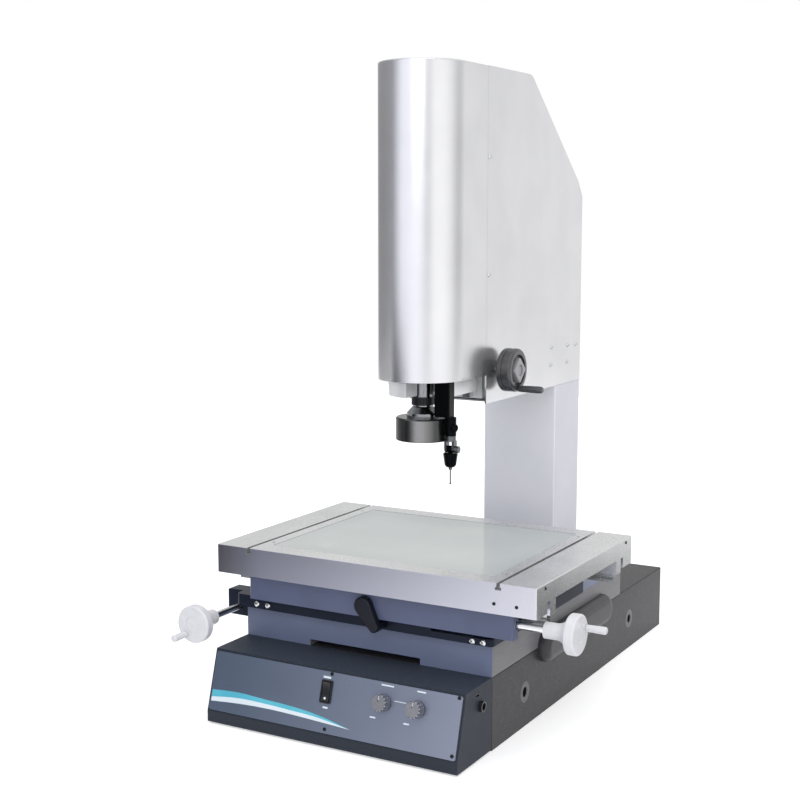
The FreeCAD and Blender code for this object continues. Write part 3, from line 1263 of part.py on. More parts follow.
def head_frame():
    """Cast backbone bolted to the column: front plate for the Z rails, two cheeks and a back plate."""
    low, top = HEAD_BOTTOM + FRAME_LIFT, HEAD_BOTTOM + FRAME_TOP
    rear_top = HEAD_BOTTOM + FRAME_REAR_TOP
    cheek_outline = [
        (FRAME_FRONT, low),
        (FRAME_FRONT, top),
        (BASE_FRONT + FRAME_SLOPE_SETBACK, top),
        (FRAME_REAR, rear_top),
        (FRAME_REAR, low),
    ]
    pieces = []
    for x in (-FRAME_HALF, FRAME_HALF - FRAME_WALL):
        cheek = prism([(x, y, z) for y, z in cheek_outline], X_AXIS * FRAME_WALL)
        for setback, lift in FRAME_HOLES:
            y, z = BASE_FRONT + setback, HEAD_BOTTOM + lift
            cheek = cheek.cut(rod(FRAME_HOLE_RADIUS, (x - CUT, y, z), (x + FRAME_WALL + CUT, y, z)))
        pieces.append(cheek)
    pieces.append(box((-FRAME_HALF, FRAME_FRONT, low), (FRAME_HALF, FRAME_FRONT + FRAME_WALL, top)))
    pieces.append(box((-FRAME_HALF, FRAME_REAR - FRAME_WALL, low), (FRAME_HALF, FRAME_REAR, rear_top)))
    boss_end = FRAME_HALF + SHAFT_BOSS_LENGTH
    for z in (WHEEL_Z, IDLER_Z):
        pieces.append(rod(SHAFT_BOSS_RADIUS, (FRAME_HALF - FRAME_WALL, WHEEL_Y, z), (boss_end, WHEEL_Y, z)))
    pieces.append(rod(IDLER_PIN_RADIUS, (boss_end, WHEEL_Y, IDLER_Z), (BELT_LEFT + BELT_WIDTH + 1.5, WHEEL_Y, IDLER_Z)))
    frame = fuse(*pieces)
    bore = rod(SHAFT_RADIUS + RUNNING_CLEARANCE, (FRAME_HALF - FRAME_WALL - CUT, WHEEL_Y, WHEEL_Z), (boss_end + CUT, WHEEL_Y, WHEEL_Z))
    return frame.cut(bore)


def z_rails():
    """Two upright rails on the front plate of the backbone."""
    section = rail_section(Z_RAIL_WIDTH, Z_RAIL_HEIGHT, Z_RAIL_WAIST)
    length = Z_RAIL_HIGH - Z_RAIL_LOW
    rails = []
    for x in (-Z_RAIL_X, Z_RAIL_X):
        origin = (x, FRAME_FRONT, HEAD_BOTTOM + Z_RAIL_LOW)
        rails.append(on_section(section, origin, X_AXIS, -Y_AXIS, Z_AXIS * length))
    return rails


def z_blocks():
    """Four bearing blocks behind the carriage plate."""
    rail = (Z_RAIL_WIDTH, Z_RAIL_HEIGHT, Z_RAIL_WAIST)
    section = block_section(Z_BLOCK_WIDTH, Z_BLOCK_DEPTH, Z_RAIL_HEIGHT * 0.2, *rail)
    blocks = []
    for x in (-Z_RAIL_X, Z_RAIL_X):
        for lift in Z_BLOCK_LIFTS:
            origin = (x, FRAME_FRONT, LENS_PLATE_Z + lift - Z_BLOCK_LENGTH)
            blocks.append(on_section(section, origin, X_AXIS, -Y_AXIS, Z_AXIS * Z_BLOCK_LENGTH))
    return blocks


def belt_loop(radius):
    """Closed outline of the belt at a radius round both pulleys, as a face."""
    x = BELT_LEFT
    front, rear = WHEEL_Y - radius, WHEEL_Y + radius
    low_front, low_rear = Vector(x, front, WHEEL_Z), Vector(x, rear, WHEEL_Z)
    high_front, high_rear = Vector(x, front, IDLER_Z), Vector(x, rear, IDLER_Z)
    edges = [
        Part.Arc(low_front, Vector(x, WHEEL_Y, WHEEL_Z - radius), low_rear).toShape(),
        Part.LineSegment(low_rear, high_rear).toShape(),
        Part.Arc(high_rear, Vector(x, WHEEL_Y, IDLER_Z + radius), high_front).toShape(),
        Part.LineSegment(high_front, low_front).toShape(),
    ]
    return Part.Face(Part.Wire(edges))


def z_belt():
    """Belt loop between the wheel's pulley and the idler."""
    inner = PULLEY_RADIUS + BELT_GAP
    along = X_AXIS * BELT_WIDTH
    return belt_loop(inner + BELT_THICKNESS).extrude(along).cut(belt_loop(inner).extrude(along))


def pulley_profile(bore):
    """Pulley with two flanges, as a closed outline along its axis from the inner flange."""
    end = BELT_WIDTH + 2.4
    return [
        (bore, 0),
        (PULLEY_FLANGE, 0),
        (PULLEY_FLANGE, 1.0),
        (PULLEY_RADIUS, 1.0),
        (PULLEY_RADIUS, end - 1.0),
        (PULLEY_FLANGE, end - 1.0),
        (PULLEY_FLANGE, end),
        (bore, end),
    ]


def idler_pulley():
    """Pulley that turns on the pin of the backbone."""
    pulley = turned(pulley_profile(IDLER_PIN_RADIUS + RUNNING_CLEARANCE))
    return placed(pulley, (BELT_LEFT - 1.2, WHEEL_Y, IDLER_Z), (1, 0, 0))


def z_shaft():
    """Shaft of the handwheel with its belt pulley, made in one piece."""
    start = FRAME_HALF - FRAME_WALL - 4.0
    end = WHEEL_START + WHEEL_HUB_LENGTH + WHEEL_LENGTH / 2
    shaft = rod(SHAFT_RADIUS, (start, WHEEL_Y, WHEEL_Z), (end, WHEEL_Y, WHEEL_Z))
    pulley = placed(turned(pulley_profile(0)), (BELT_LEFT - 1.2, WHEEL_Y, WHEEL_Z), (1, 0, 0))
    return fuse(shaft, pulley)


def z_handwheel():
    """Drum-shaped handwheel along +X with a dished face, a hub and a spindle for the grip."""
    end = WHEEL_HUB_LENGTH + WHEEL_LENGTH
    drum = Part.makeCylinder(WHEEL_RADIUS, WHEEL_LENGTH, Vector(0, 0, WHEEL_HUB_LENGTH))
    drum = drum.makeFillet(WHEEL_ROUND, edges_at(drum, Z_AXIS, WHEEL_HUB_LENGTH) + edges_at(drum, Z_AXIS, end))
    hub = Part.makeCylinder(WHEEL_HUB_RADIUS, WHEEL_HUB_LENGTH + CUT)
    groove = turned([
        (WHEEL_RADIUS - 1.2, end / 2 + 1.0),
        (WHEEL_RADIUS + CUT, end / 2),
        (WHEEL_RADIUS + CUT, end / 2 + 6.0),
        (WHEEL_RADIUS - 1.2, end / 2 + 5.0),
    ])
    bore = Part.makeCylinder(SHAFT_RADIUS + RUNNING_CLEARANCE, WHEEL_HUB_LENGTH + WHEEL_LENGTH / 2 + 2 * CUT, Vector(0, 0, -CUT))
    spindle = rod(GRIP_PIN_RADIUS, (WHEEL_GRIP_OFFSET, 0, end - 3.0), (WHEEL_GRIP_OFFSET, 0, end + WHEEL_GRIP_LENGTH - 4.0))
    dish = Part.makeCylinder(WHEEL_DISH_RADIUS, WHEEL_DISH_DEPTH + CUT, Vector(0, 0, end - WHEEL_DISH_DEPTH))
    wheel = fuse(drum, hub).cut([groove, bore, dish])
    return placed(fuse(wheel, spindle), (WHEEL_START, WHEEL_Y, WHEEL_Z), (1, 0, 0))


def z_wheel_boss():
    """Diamond boss in the dish of the handwheel, with a round recess."""
    half = WHEEL_BOSS_HALF
    boss = rounded_box((-half, -half, 0), (half, half, WHEEL_BOSS_HEIGHT), Z_AXIS, WHEEL_BOSS_CORNER)
    boss = boss.makeFillet(1.5, edges_at(boss, Z_AXIS, WHEEL_BOSS_HEIGHT))
    recess = Part.makeCylinder(WHEEL_CAP_RADIUS, WHEEL_CAP_DEPTH + CUT, Vector(0, 0, WHEEL_BOSS_HEIGHT - WHEEL_CAP_DEPTH))
    seat = WHEEL_START + WHEEL_HUB_LENGTH + WHEEL_LENGTH - WHEEL_DISH_DEPTH
    return placed(boss.cut(recess), (seat, WHEEL_Y, WHEEL_Z), (1, 0, 0), 45.0)


def z_grip():
    """Grip that turns on the spindle of the handwheel."""
    start = WHEEL_HUB_LENGTH + WHEEL_LENGTH + GRIP_GAP
    end = start + WHEEL_GRIP_LENGTH
    bore = GRIP_PIN_RADIUS + RUNNING_CLEARANCE
    profile = [
        (bore, start),
        (WHEEL_GRIP_RADIUS - 1.0, start),
        (WHEEL_GRIP_RADIUS - 0.6, start + 2.0),
        (WHEEL_GRIP_RADIUS, end - 8.0),
        (WHEEL_GRIP_RADIUS - 0.4, end - 2.0),
        (WHEEL_GRIP_RADIUS - 2.0, end),
        (0, end),
        (0, end - 2.0),
        (bore, end - 2.0),
    ]
    grip = turned(profile)
    grip.translate(Vector(WHEEL_GRIP_OFFSET, 0, 0))
    return placed(grip, (WHEEL_START, WHEEL_Y, WHEEL_Z), (1, 0, 0))


def z_carriage():
    """Carriage plate with the half-round lens plate, two gussets, the lens clamp and the belt arm."""
    low, high = LENS_PLATE_Z, LENS_PLATE_Z + CARRIAGE_HEIGHT
    plate_top = LENS_PLATE_Z + LENS_PLATE_THICKNESS
    plate = box((-CARRIAGE_HALF, CARRIAGE_FRONT, low), (CARRIAGE_HALF, CARRIAGE_REAR, high))
    disc = rod(LENS_PLATE_RADIUS, (0, LENS_Y, low), (0, LENS_Y, plate_top))
    tail = box((-LENS_PLATE_RADIUS, LENS_Y, low), (LENS_PLATE_RADIUS, CARRIAGE_REAR, plate_top))
    pieces = [plate, disc, tail]
    for side in (-1, 1):
        x = side * CARRIAGE_RIB_X - CARRIAGE_RIB_WIDTH / 2
        outline = [
            (x, CARRIAGE_FRONT, plate_top),
            (x, CARRIAGE_FRONT - CARRIAGE_RIB_REACH, plate_top),
            (x, CARRIAGE_FRONT, plate_top + CARRIAGE_RIB_HEIGHT),
        ]
        pieces.append(prism(outline, X_AXIS * CARRIAGE_RIB_WIDTH))
    clamp_low = LENS_PLATE_Z + LENS_CLAMP_LIFT
    clamp_high = clamp_low + LENS_CLAMP_LENGTH
    pieces.append(rod(LENS_CLAMP_RADIUS, (0, LENS_Y, clamp_low), (0, LENS_Y, clamp_high)))
    pieces.append(box((-LENS_CLAMP_RADIUS * 0.7, LENS_Y, clamp_low), (LENS_CLAMP_RADIUS * 0.7, CARRIAGE_FRONT, clamp_high)))
    arm_rear = WHEEL_Y - PULLEY_RADIUS - BELT_GAP - BELT_THICKNESS - 0.4
    arm_right = BELT_LEFT + BELT_WIDTH / 2 + CLAMP_ARM_WIDTH / 2
    arm_left = arm_right - CLAMP_ARM_WIDTH
    pieces.append(box((CARRIAGE_HALF, CARRIAGE_REAR - 6.0, clamp_low), (arm_right, CARRIAGE_REAR, clamp_high)))
    pieces.append(box((arm_left, CARRIAGE_REAR - 6.0, clamp_low), (arm_right, arm_rear, clamp_high)))
    body = fuse(*pieces)
    lens_hole = rod(TUBE_RADIUS + RUNNING_CLEARANCE, (0, LENS_Y, clamp_low - CUT), (0, LENS_Y, clamp_high + CUT))
    far = LENS_PLATE_RADIUS + CUT
    notch = box((PLATE_NOTCH_X, LENS_Y - far, low - CUT), (far, LENS_Y + PLATE_NOTCH_Y, plate_top + CUT))
    plate_hole = rod(BARREL_RADIUS + 3.0, (0, LENS_Y, low - CUT), (0, LENS_Y, plate_top + CUT))
    return body.cut(notch).cut([lens_hole, plate_hole])


def lens_tube():
    """Zoom lens from the camera flange down to the nose, with a waist where the zoom ring turns."""
    base = -BARREL_DROP
    ring_top = LENS_PLATE_Z - ZOOM_RING_DROP + ZOOM_RING_LENGTH + 0.3 - LENS_PLATE_Z
    ring_low = -ZOOM_RING_DROP - 0.3
    profile = [
        (0, base - CONE_LENGTH - COLLAR_LENGTH - NOSE_LENGTH),
        (NOSE_RADIUS - 2.0, base - CONE_LENGTH - COLLAR_LENGTH - NOSE_LENGTH),
        (NOSE_RADIUS, base - CONE_LENGTH - COLLAR_LENGTH - NOSE_LENGTH + 2.0),
        (NOSE_RADIUS, base - CONE_LENGTH - COLLAR_LENGTH),
        (CONE_RADIUS, base - CONE_LENGTH - COLLAR_LENGTH),
        (CONE_RADIUS, base - CONE_LENGTH),
        (BARREL_RADIUS, base),
        (BARREL_RADIUS, ring_low),
        (ZOOM_SEAT_RADIUS, ring_low),
        (ZOOM_SEAT_RADIUS, ring_top),
        (BARREL_RADIUS, ring_top),
        (BARREL_RADIUS, TUBE_LOW),
        (TUBE_RADIUS, TUBE_LOW + 5.0),
        (TUBE_RADIUS, TUBE_HIGH),
        (0, TUBE_HIGH),
    ]
    return placed(turned(profile), (0, LENS_Y, LENS_PLATE_Z), (0, 0, 1))


def zoom_ring():
    """Ribbed ring that turns on the waist of the lens."""
    low = LENS_PLATE_Z - ZOOM_RING_DROP
    ring = Part.makeCylinder(ZOOM_RING_RADIUS, ZOOM_RING_LENGTH, Vector(0, LENS_Y, low))
    for step in range(ZOOM_RING_GROOVES):
        angle = math.radians(360.0 * step / ZOOM_RING_GROOVES)
        x, y = ZOOM_RING_RADIUS * math.cos(angle), LENS_Y + ZOOM_RING_RADIUS * math.sin(angle)
        ring = ring.cut(rod(0.9, (x, y, low + 2.0), (x, y, low + ZOOM_RING_LENGTH - 2.0)))
    bore = rod(ZOOM_SEAT_RADIUS + RUNNING_CLEARANCE, (0, LENS_Y, low - CUT), (0, LENS_Y, low + ZOOM_RING_LENGTH + CUT))
    return ring.cut(bore)


def camera():
    """Camera body on top of the lens, with a plain connector stub."""
    low = LENS_PLATE_Z + TUBE_HIGH
    half = CAMERA_HALF
    body = rounded_box((-half, LENS_Y - half, low), (half, LENS_Y + half, low + CAMERA_HEIGHT), Z_AXIS, CAMERA_CORNER)
    stub = rod(6.0, (0, LENS_Y, low + CAMERA_HEIGHT), (0, LENS_Y, low + CAMERA_HEIGHT + 9.0))
    return fuse(body, stub)


def ring_light():
    """Ring lamp housing below the collar of the lens, open below round the nose."""
    low, recess = -RING_LIGHT_HEIGHT, RING_LIGHT_RECESS_DEPTH - RING_LIGHT_HEIGHT
    bore = NOSE_RADIUS + RING_LIGHT_BORE_GAP
    edge = RING_LIGHT_ROUND
    profile = [
        (bore, 0),
        (RING_LIGHT_RADIUS - edge, 0),
        (RING_LIGHT_RADIUS, -edge),
        (RING_LIGHT_RADIUS, low + 1.0),
        (RING_LIGHT_RADIUS - 1.0, low),
        (RING_LIGHT_RECESS_RADIUS, low),
        (RING_LIGHT_RECESS_RADIUS, recess),
        (bore, recess),
    ]
    return placed(turned(profile), (0, LENS_Y, RING_LIGHT_TOP), (0, 0, 1))


def light_diffuser():
    """Flat ring of diffusing plastic in the recess of the ring lamp."""
    top = RING_LIGHT_RECESS_DEPTH - RING_LIGHT_HEIGHT
    profile = [
        (DIFFUSER_INNER, top - DIFFUSER_THICKNESS),
        (RING_LIGHT_RECESS_RADIUS - GLUE_GAP, top - DIFFUSER_THICKNESS),
        (RING_LIGHT_RECESS_RADIUS - GLUE_GAP, top),
        (DIFFUSER_INNER, top),
    ]
    return placed(turned(profile), (0, LENS_Y, RING_LIGHT_TOP), (0, 0, 1))


def probe_head():
    """Probe bracket below the lens plate, with the round head and its locking knob."""
    low = LENS_PLATE_Z - PROBE_BRACKET_DROP
    rear = LENS_Y + PLATE_NOTCH_Y
    bracket = rounded_box(
        (PROBE_BRACKET_LEFT, rear - PROBE_BRACKET_DEPTH, low),
        (PROBE_BRACKET_LEFT + PROBE_BRACKET_WIDTH, rear, LENS_PLATE_Z + LENS_PLATE_THICKNESS),
        Z_AXIS,
        2.0,
    )
    head = rod(PROBE_HEAD_RADIUS, (PROBE_X, PROBE_Y, low), (PROBE_X, PROBE_Y, low - PROBE_HEAD_LENGTH))
    lean = math.radians(PROBE_KNOB_LEAN)
    out = Vector(math.cos(lean), -math.sin(lean), 0)
    centre = Vector(PROBE_X, PROBE_Y, LENS_PLATE_Z - PROBE_KNOB_DROP)
    knob = Part.makeCylinder(PROBE_KNOB_RADIUS, PROBE_KNOB_REACH, centre, out)
    knob = knob.makeChamfer(0.8, [e for e in knob.Edges if (e.CenterOfMass - centre).Length > PROBE_KNOB_REACH - 0.1])
    return fuse(bracket, head, knob)


def probe_knuckle():
    """Fork below the probe head, which swivels about the upright axis and holds the tilt pin."""
    top = LENS_PLATE_Z - PROBE_BRACKET_DROP - PROBE_HEAD_LENGTH - PROBE_JOINT_GAP
    collar = rod(KNUCKLE_RADIUS, (PROBE_X, PROBE_Y, top - KNUCKLE_LENGTH), (PROBE_X, PROBE_Y, top))
    ears = []
    for side in (-1, 1):
        inner, outer = sorted((side * (KNUCKLE_RADIUS - FORK_EAR), side * KNUCKLE_RADIUS))
        low = (PROBE_X + inner, PROBE_Y - FORK_HALF, TILT_Z)
        high = (PROBE_X + outer, PROBE_Y + FORK_HALF, top - KNUCKLE_LENGTH + CUT)
        ears.append(box(low, high))
        ears.append(rod(FORK_HALF, (PROBE_X + inner, PROBE_Y, TILT_Z), (PROBE_X + outer, PROBE_Y, TILT_Z)))
    end = KNUCKLE_RADIUS + TILT_KNOB_LENGTH
    knob = rod(TILT_KNOB_RADIUS, (PROBE_X + KNUCKLE_RADIUS, PROBE_Y, TILT_Z), (PROBE_X + end, PROBE_Y, TILT_Z))
    pin = rod(TILT_PIN_RADIUS, (PROBE_X - KNUCKLE_RADIUS, PROBE_Y, TILT_Z), (PROBE_X + KNUCKLE_RADIUS, PROBE_Y, TILT_Z))
    return fuse(collar, knob, pin, *ears)


def probe_body():
    """Tapered probe body with the lug that tilts in the fork."""
    lug_half = KNUCKLE_RADIUS - FORK_EAR - 0.4
    lug = rod(FORK_HALF, (PROBE_X - lug_half, PROBE_Y, TILT_Z), (PROBE_X + lug_half, PROBE_Y, TILT_Z))
    neck_radius = lug_half - 0.6
    neck = rod(neck_radius, (PROBE_X, PROBE_Y, TILT_Z), (PROBE_X, PROBE_Y, TILT_Z - PROBE_BODY_TOP))
    low = -PROBE_BODY_TOP - PROBE_BODY_LENGTH
    body = turned([
        (0, -PROBE_BODY_TOP),
        (PROBE_BODY_WIDE - 1.5, -PROBE_BODY_TOP),
        (PROBE_BODY_WIDE, -PROBE_BODY_TOP - 1.5),
        (PROBE_BODY_NARROW, low + 3.0),
        (PROBE_BODY_NARROW - 2.5, low),
        (0, low),
    ])
    body = placed(body, (PROBE_X, PROBE_Y, TILT_Z), (0, 0, 1))
    bore_radius = TILT_PIN_RADIUS + RUNNING_CLEARANCE
    bore = rod(bore_radius, (PROBE_X - 2 * lug_half, PROBE_Y, TILT_Z), (PROBE_X + 2 * lug_half, PROBE_Y, TILT_Z))
    return fuse(lug, neck, body).cut(bore)


def stylus():
    """Thin stem with a ball at its tip."""
    top = TILT_Z - PROBE_BODY_TOP - PROBE_BODY_LENGTH
    centre = Vector(PROBE_X, PROBE_Y, top - STYLUS_LENGTH + STYLUS_BALL_RADIUS)
    mount = rod(2.6, (PROBE_X, PROBE_Y, top - 4.0), (PROBE_X, PROBE_Y, top))
    stem = rod(STYLUS_RADIUS, tuple(centre), (PROBE_X, PROBE_Y, top))
    return fuse(mount, stem, Part.makeSphere(STYLUS_BALL_RADIUS, centre))


os.makedirs("parts", exist_ok=True)

save("granite_base", granite_base())
save("lifting_inserts", *lifting_inserts())
save("bed_bars", *bed_bars())
save("bed_plate", bed_plate())
save("y_rails", *y_rails())
save("scale_cover", scale_cover())
save("lower_lamp", lower_lamp())
save("lower_lamp_lens", lower_lamp_lens())
save("y_nut", y_nut())

save("saddle_plate", saddle_plate())
save("y_blocks", *y_blocks())
save("x_blocks", *x_blocks())
save("x_nut", x_nut())
save("y_rod_brackets", *y_rod_brackets())
save("release_lever", release_lever())

save("table_plate", table_plate())
save("glass_plate", glass_plate())
save("x_rails", *x_rails())
save("drive_cover", drive_cover())
save("x_rod_bearings", *x_rod_bearings())

X_CRANK_SPIN = X_GRIP_ANGLE
save("x_rod", x_rod())
save("x_crank", placed(crank_body(), x_crank_origin(), (1, 0, 0), X_CRANK_SPIN))
save("x_grip", placed(crank_grip(), x_crank_origin(), (1, 0, 0), X_CRANK_SPIN))
save("y_rod", y_rod())
save("y_crank", placed(crank_body(), y_crank_origin(), (0, -1, 0), Y_GRIP_ANGLE))
save("y_grip", placed(crank_grip(), y_crank_origin(), (0, -1, 0), Y_GRIP_ANGLE))

save("control_box", control_box())
save("control_panel", control_panel())
save("left_light_knob", light_knob(KNOB_XS[0]))
save("right_light_knob", light_knob(KNOB_XS[1]))
save("dimmers", *dimmers())
save("control_board", control_board())
save("rocker_bezel", rocker_bezel())
save("power_rocker", power_rocker())
save("console_sockets", *console_sockets())

save("column_post", column_post())
save("column_cover", column_cover())
save("head_frame", head_frame())
save("z_rails", *z_rails())
save("z_belt", z_belt())
save("idler_pulley", idler_pulley())
save("z_shaft", z_shaft())
save("z_handwheel", z_handwheel())
save("z_wheel_boss", z_wheel_boss())
save("z_grip", z_grip())
save("head_front_cover", head_front_cover())
save("head_rear_cover", head_rear_cover())

save("z_carriage", z_carriage())
save("z_blocks", *z_blocks())
save("lens_tube", lens_tube())
save("zoom_ring", zoom_ring())
save("camera", camera())
save("ring_light", ring_light())
save("light_diffuser", light_diffuser())
save("probe_head", probe_head())
save("probe_knuckle", probe_knuckle())
save("probe_body", probe_body())
save("stylus", stylus())
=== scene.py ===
import json
import math

import bmesh
import bpy
from mathutils import Matrix, Vector


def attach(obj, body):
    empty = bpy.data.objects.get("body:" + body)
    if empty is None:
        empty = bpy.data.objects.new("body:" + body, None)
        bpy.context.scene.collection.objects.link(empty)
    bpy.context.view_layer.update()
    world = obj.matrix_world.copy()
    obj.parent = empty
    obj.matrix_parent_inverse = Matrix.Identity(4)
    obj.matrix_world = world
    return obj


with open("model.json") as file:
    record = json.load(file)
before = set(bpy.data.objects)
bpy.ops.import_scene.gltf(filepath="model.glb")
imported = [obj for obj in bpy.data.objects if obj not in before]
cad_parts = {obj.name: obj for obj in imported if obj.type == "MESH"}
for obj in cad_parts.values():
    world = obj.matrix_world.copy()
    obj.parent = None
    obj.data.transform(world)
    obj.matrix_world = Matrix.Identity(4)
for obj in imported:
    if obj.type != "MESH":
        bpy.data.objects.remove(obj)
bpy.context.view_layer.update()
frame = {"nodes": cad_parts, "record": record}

# The dressed vision measuring machine: finishes for its solids, small fasteners, printed marks,
# and a plain studio. Places are in millimetres from the source's own origin, turned to metres here.

MM = 0.001
BASE_FRONT = -341.5
SLOPE_FOOT = (-444.1, 18.0)
SLOPE_UP = (0.27801, 0.96060)
HEAD_SIDE = 66.0
TABLE_LEFT, TABLE_RIGHT = -213.4, 286.6
TABLE_FRONT = -394.2
SADDLE_FRONT = -357.5
KNOB_XS, KNOB_UP = (82.0, 133.5), 58.4
KNOB_FACE = 14.6
ROCKER_X = -7.5
PANEL_ENDS = (-190, 190)

# Places of small pieces: distance back from the base's front and height, or across and height
SIDE_SCREWS = ((256.4, 803), (256.4, 629), (496.4, 501), (564.4, 499),
               (493.4, 472), (561.4, 471), (600.4, 498))
SADDLE_SCREWS = ((-171, 157), (-152, 157), (178, 154.6), (194, 154.6))
APRON_FRONT_SCREWS = ((227, 221.5), (259, 221))
APRON_SIDE_SCREWS = ((-24.7, 243), (267, 243))
PANEL_SCREW_XS, PANEL_SCREW_UPS = (-2.5, 192), (8.5, 83)

# Radius and height of each kind of screw head
HEAD_SCREW, SADDLE_SCREW = (3.4, 1.8), (4.5, 2.6)
PANEL_SCREW, EDGE_SCREW = (2.6, 1.2), (2.4, 1.0)

# The camera that took the photograph, solved from the box's edges, in metres and degrees
CAMERA_LENS = 62.24
CAMERA_PLACE = (0.9788, -1.9657, 0.7142)
CAMERA_PITCH, CAMERA_TURN = 82.433, 29.541


def spot(x, y, z):
    """A place given in millimetres."""
    return Vector((x, y, z)) * MM


def facing(place, out, up=(0, 0, 1)):
    """Stands a piece made on the XY plane, with +Z out of it, on a surface of the machine."""
    out = Vector(out).normalized()
    side = Vector(up).cross(out).normalized()
    stand = Matrix((side, out.cross(side), out)).transposed().to_4x4()
    stand.translation = place
    return stand


def on_panel(x, up, lift=0.0):
    """Stands a piece on the sloping control panel, up its slope."""
    y = SLOPE_FOOT[0] + up * SLOPE_UP[0] - lift * SLOPE_UP[1]
    z = SLOPE_FOOT[1] + up * SLOPE_UP[1] + lift * SLOPE_UP[0]
    return facing(spot(x, y, z), (0, -SLOPE_UP[1], SLOPE_UP[0]))


# Finishes

def linear(code):
    """An sRGB hex colour as the linear colour that the shader needs."""
    parts = [int(code[i:i + 2], 16) / 255 for i in (1, 3, 5)]
    return [c / 12.92 if c <= 0.04045 else ((c + 0.055) / 1.055) ** 2.4 for c in parts] + [1.0]


def per(size_mm):
    """Pattern scale whose features are that many millimetres apart."""
    return 1000.0 / size_mm


def add(tree, kind, links=None, **settings):
    """Adds a node with its settings, and its inputs, each a value or another node's output."""
    node = tree.nodes.new(kind)
    for name, value in settings.items():
        setattr(node, name, value)
    for name, value in (links or {}).items():
        if isinstance(value, bpy.types.NodeSocket):
            tree.links.new(value, node.inputs[name])
        else:
            node.inputs[name].default_value = value
    return node


def ramp(tree, factor, *stops):
    """Colour ramp through (place, hex) stops."""
    node = add(tree, "ShaderNodeValToRGB", {"Fac": factor})
    elements = node.color_ramp.elements
    while len(elements) < len(stops):
        elements.new(0.5)
    for element, (place, code) in zip(elements, stops):
        element.position = place
        element.color = linear(code)
    return node.outputs["Color"]


def span(tree, factor, low, high):
    """Turns a pattern of 0 to 1 into a range of roughness or height."""
    ends = {"Value": factor, "To Min": low, "To Max": high}
    return add(tree, "ShaderNodeMapRange", ends).outputs["Result"]


def share_between(tree, value, low, high):
    """0 at a low value, 1 at a high one, and between them in step."""
    ends = {"Value": value, "From Min": low, "From Max": high}
    return add(tree, "ShaderNodeMapRange", ends).outputs["Result"]


def arithmetic(tree, operation, *values):
    """Works on one or two values, such as their product or the larger of them."""
    return add(tree, "ShaderNodeMath", dict(enumerate(values)), operation=operation).outputs["Value"]


def noise(tree, size_mm, detail=2.0, stretch=(1, 1, 1)):
    """Cloudy pattern on the object's own coordinates, stretched along an axis where the tool ran."""
    coords = add(tree, "ShaderNodeTexCoord").outputs["Object"]
    mapped = add(tree, "ShaderNodeMapping", {"Vector": coords, "Scale": stretch}).outputs["Vector"]
    links = {"Vector": mapped, "Scale": per(size_mm), "Detail": detail}
    return add(tree, "ShaderNodeTexNoise", links).outputs["Fac"]


def place_along(tree, axis, low_mm, high_mm):
    """0 to 1 between two places along one of the object's axes."""
    coords = add(tree, "ShaderNodeTexCoord").outputs["Object"]
    place = add(tree, "ShaderNodeSeparateXYZ", {"Vector": coords}).outputs[axis]
    return share_between(tree, place, low_mm * MM, high_mm * MM)


# How squarely a face looks along an axis, from not counted to fully counted
SQUARE_ON = (0.75, 0.9)


def faces_along(tree, axis, sign=0):
    """1 on the faces that look along an axis, 0 on the others; without a sign, either way along it."""
    normal = add(tree, "ShaderNodeTexCoord").outputs["Normal"]
    part = add(tree, "ShaderNodeSeparateXYZ", {"Vector": normal}).outputs[axis]
    toward = arithmetic(tree, "MULTIPLY", part, sign) if sign else arithmetic(tree, "ABSOLUTE", part)
    return share_between(tree, toward, *SQUARE_ON)


# Where a mix node keeps its share, its two colours and its colour result
MIX_SHARE, MIX_FIRST, MIX_SECOND, MIX_RESULT = 0, 6, 7, 2


def blend(tree, share, first, second):
    """Blends two colours."""
    mix = add(tree, "ShaderNodeMix", data_type="RGBA")
    for place, value in ((MIX_SHARE, share), (MIX_FIRST, first), (MIX_SECOND, second)):
        if isinstance(value, bpy.types.NodeSocket):
            tree.links.new(value, mix.inputs[place])
        else:
            mix.inputs[place].default_value = value
    return mix.outputs[MIX_RESULT]


ALONG_Y = (1, 0.03, 1)


def clouded(dark, light, *pattern):
    """Colour that wanders between two tones; the pattern is a size, a detail and a stretch."""
    return lambda tree: ramp(tree, noise(tree, *pattern), (0.3, dark), (0.7, light))


def patchy(low, high, *pattern):
    """Roughness that wanders between two values."""
    return lambda tree: span(tree, noise(tree, *pattern), low, high)


def grain(*pattern):
    """Height that wanders, for the bump of a surface."""
    return lambda tree: noise(tree, *pattern)


def finish(name, base, roughness, metallic=0.0, height=None, height_mm=0.05, **sockets):
    """A material: its colour and roughness may be patterns, the rest is the same all over."""
    material = bpy.data.materials.new(name)
    material.use_nodes = True
    tree = material.node_tree
    tree.nodes.clear()
    base, roughness = base(tree), roughness(tree)
    links = {"Base Color": base, "Roughness": roughness, "Metallic": metallic}
    links.update({key.replace("_", " "): value for key, value in sockets.items()})
    shader = add(tree, "ShaderNodeBsdfPrincipled", links)
    if height:
        relief = {"Height": height(tree), "Strength": 1.0, "Distance": height_mm * MM}
        bump = add(tree, "ShaderNodeBump", relief)
        tree.links.new(bump.outputs["Normal"], shader.inputs["Normal"])
    add(tree, "ShaderNodeOutputMaterial", {"Surface": shader.outputs["BSDF"]})
    return material


def satin_paint(name, dark, light, roughness, metallic=0.0, peel_mm=1.6, **sockets):
    """Sprayed satin enamel: faint clouding in the colour, and orange peel, drawn coarse enough to show."""
    return finish(
        name,
        clouded(dark, light, 90, 3),
        patchy(roughness - 0.04, roughness + 0.05, 40, 4),
        metallic,
        grain(peel_mm, 1),
        0.02,
        **sockets,
    )


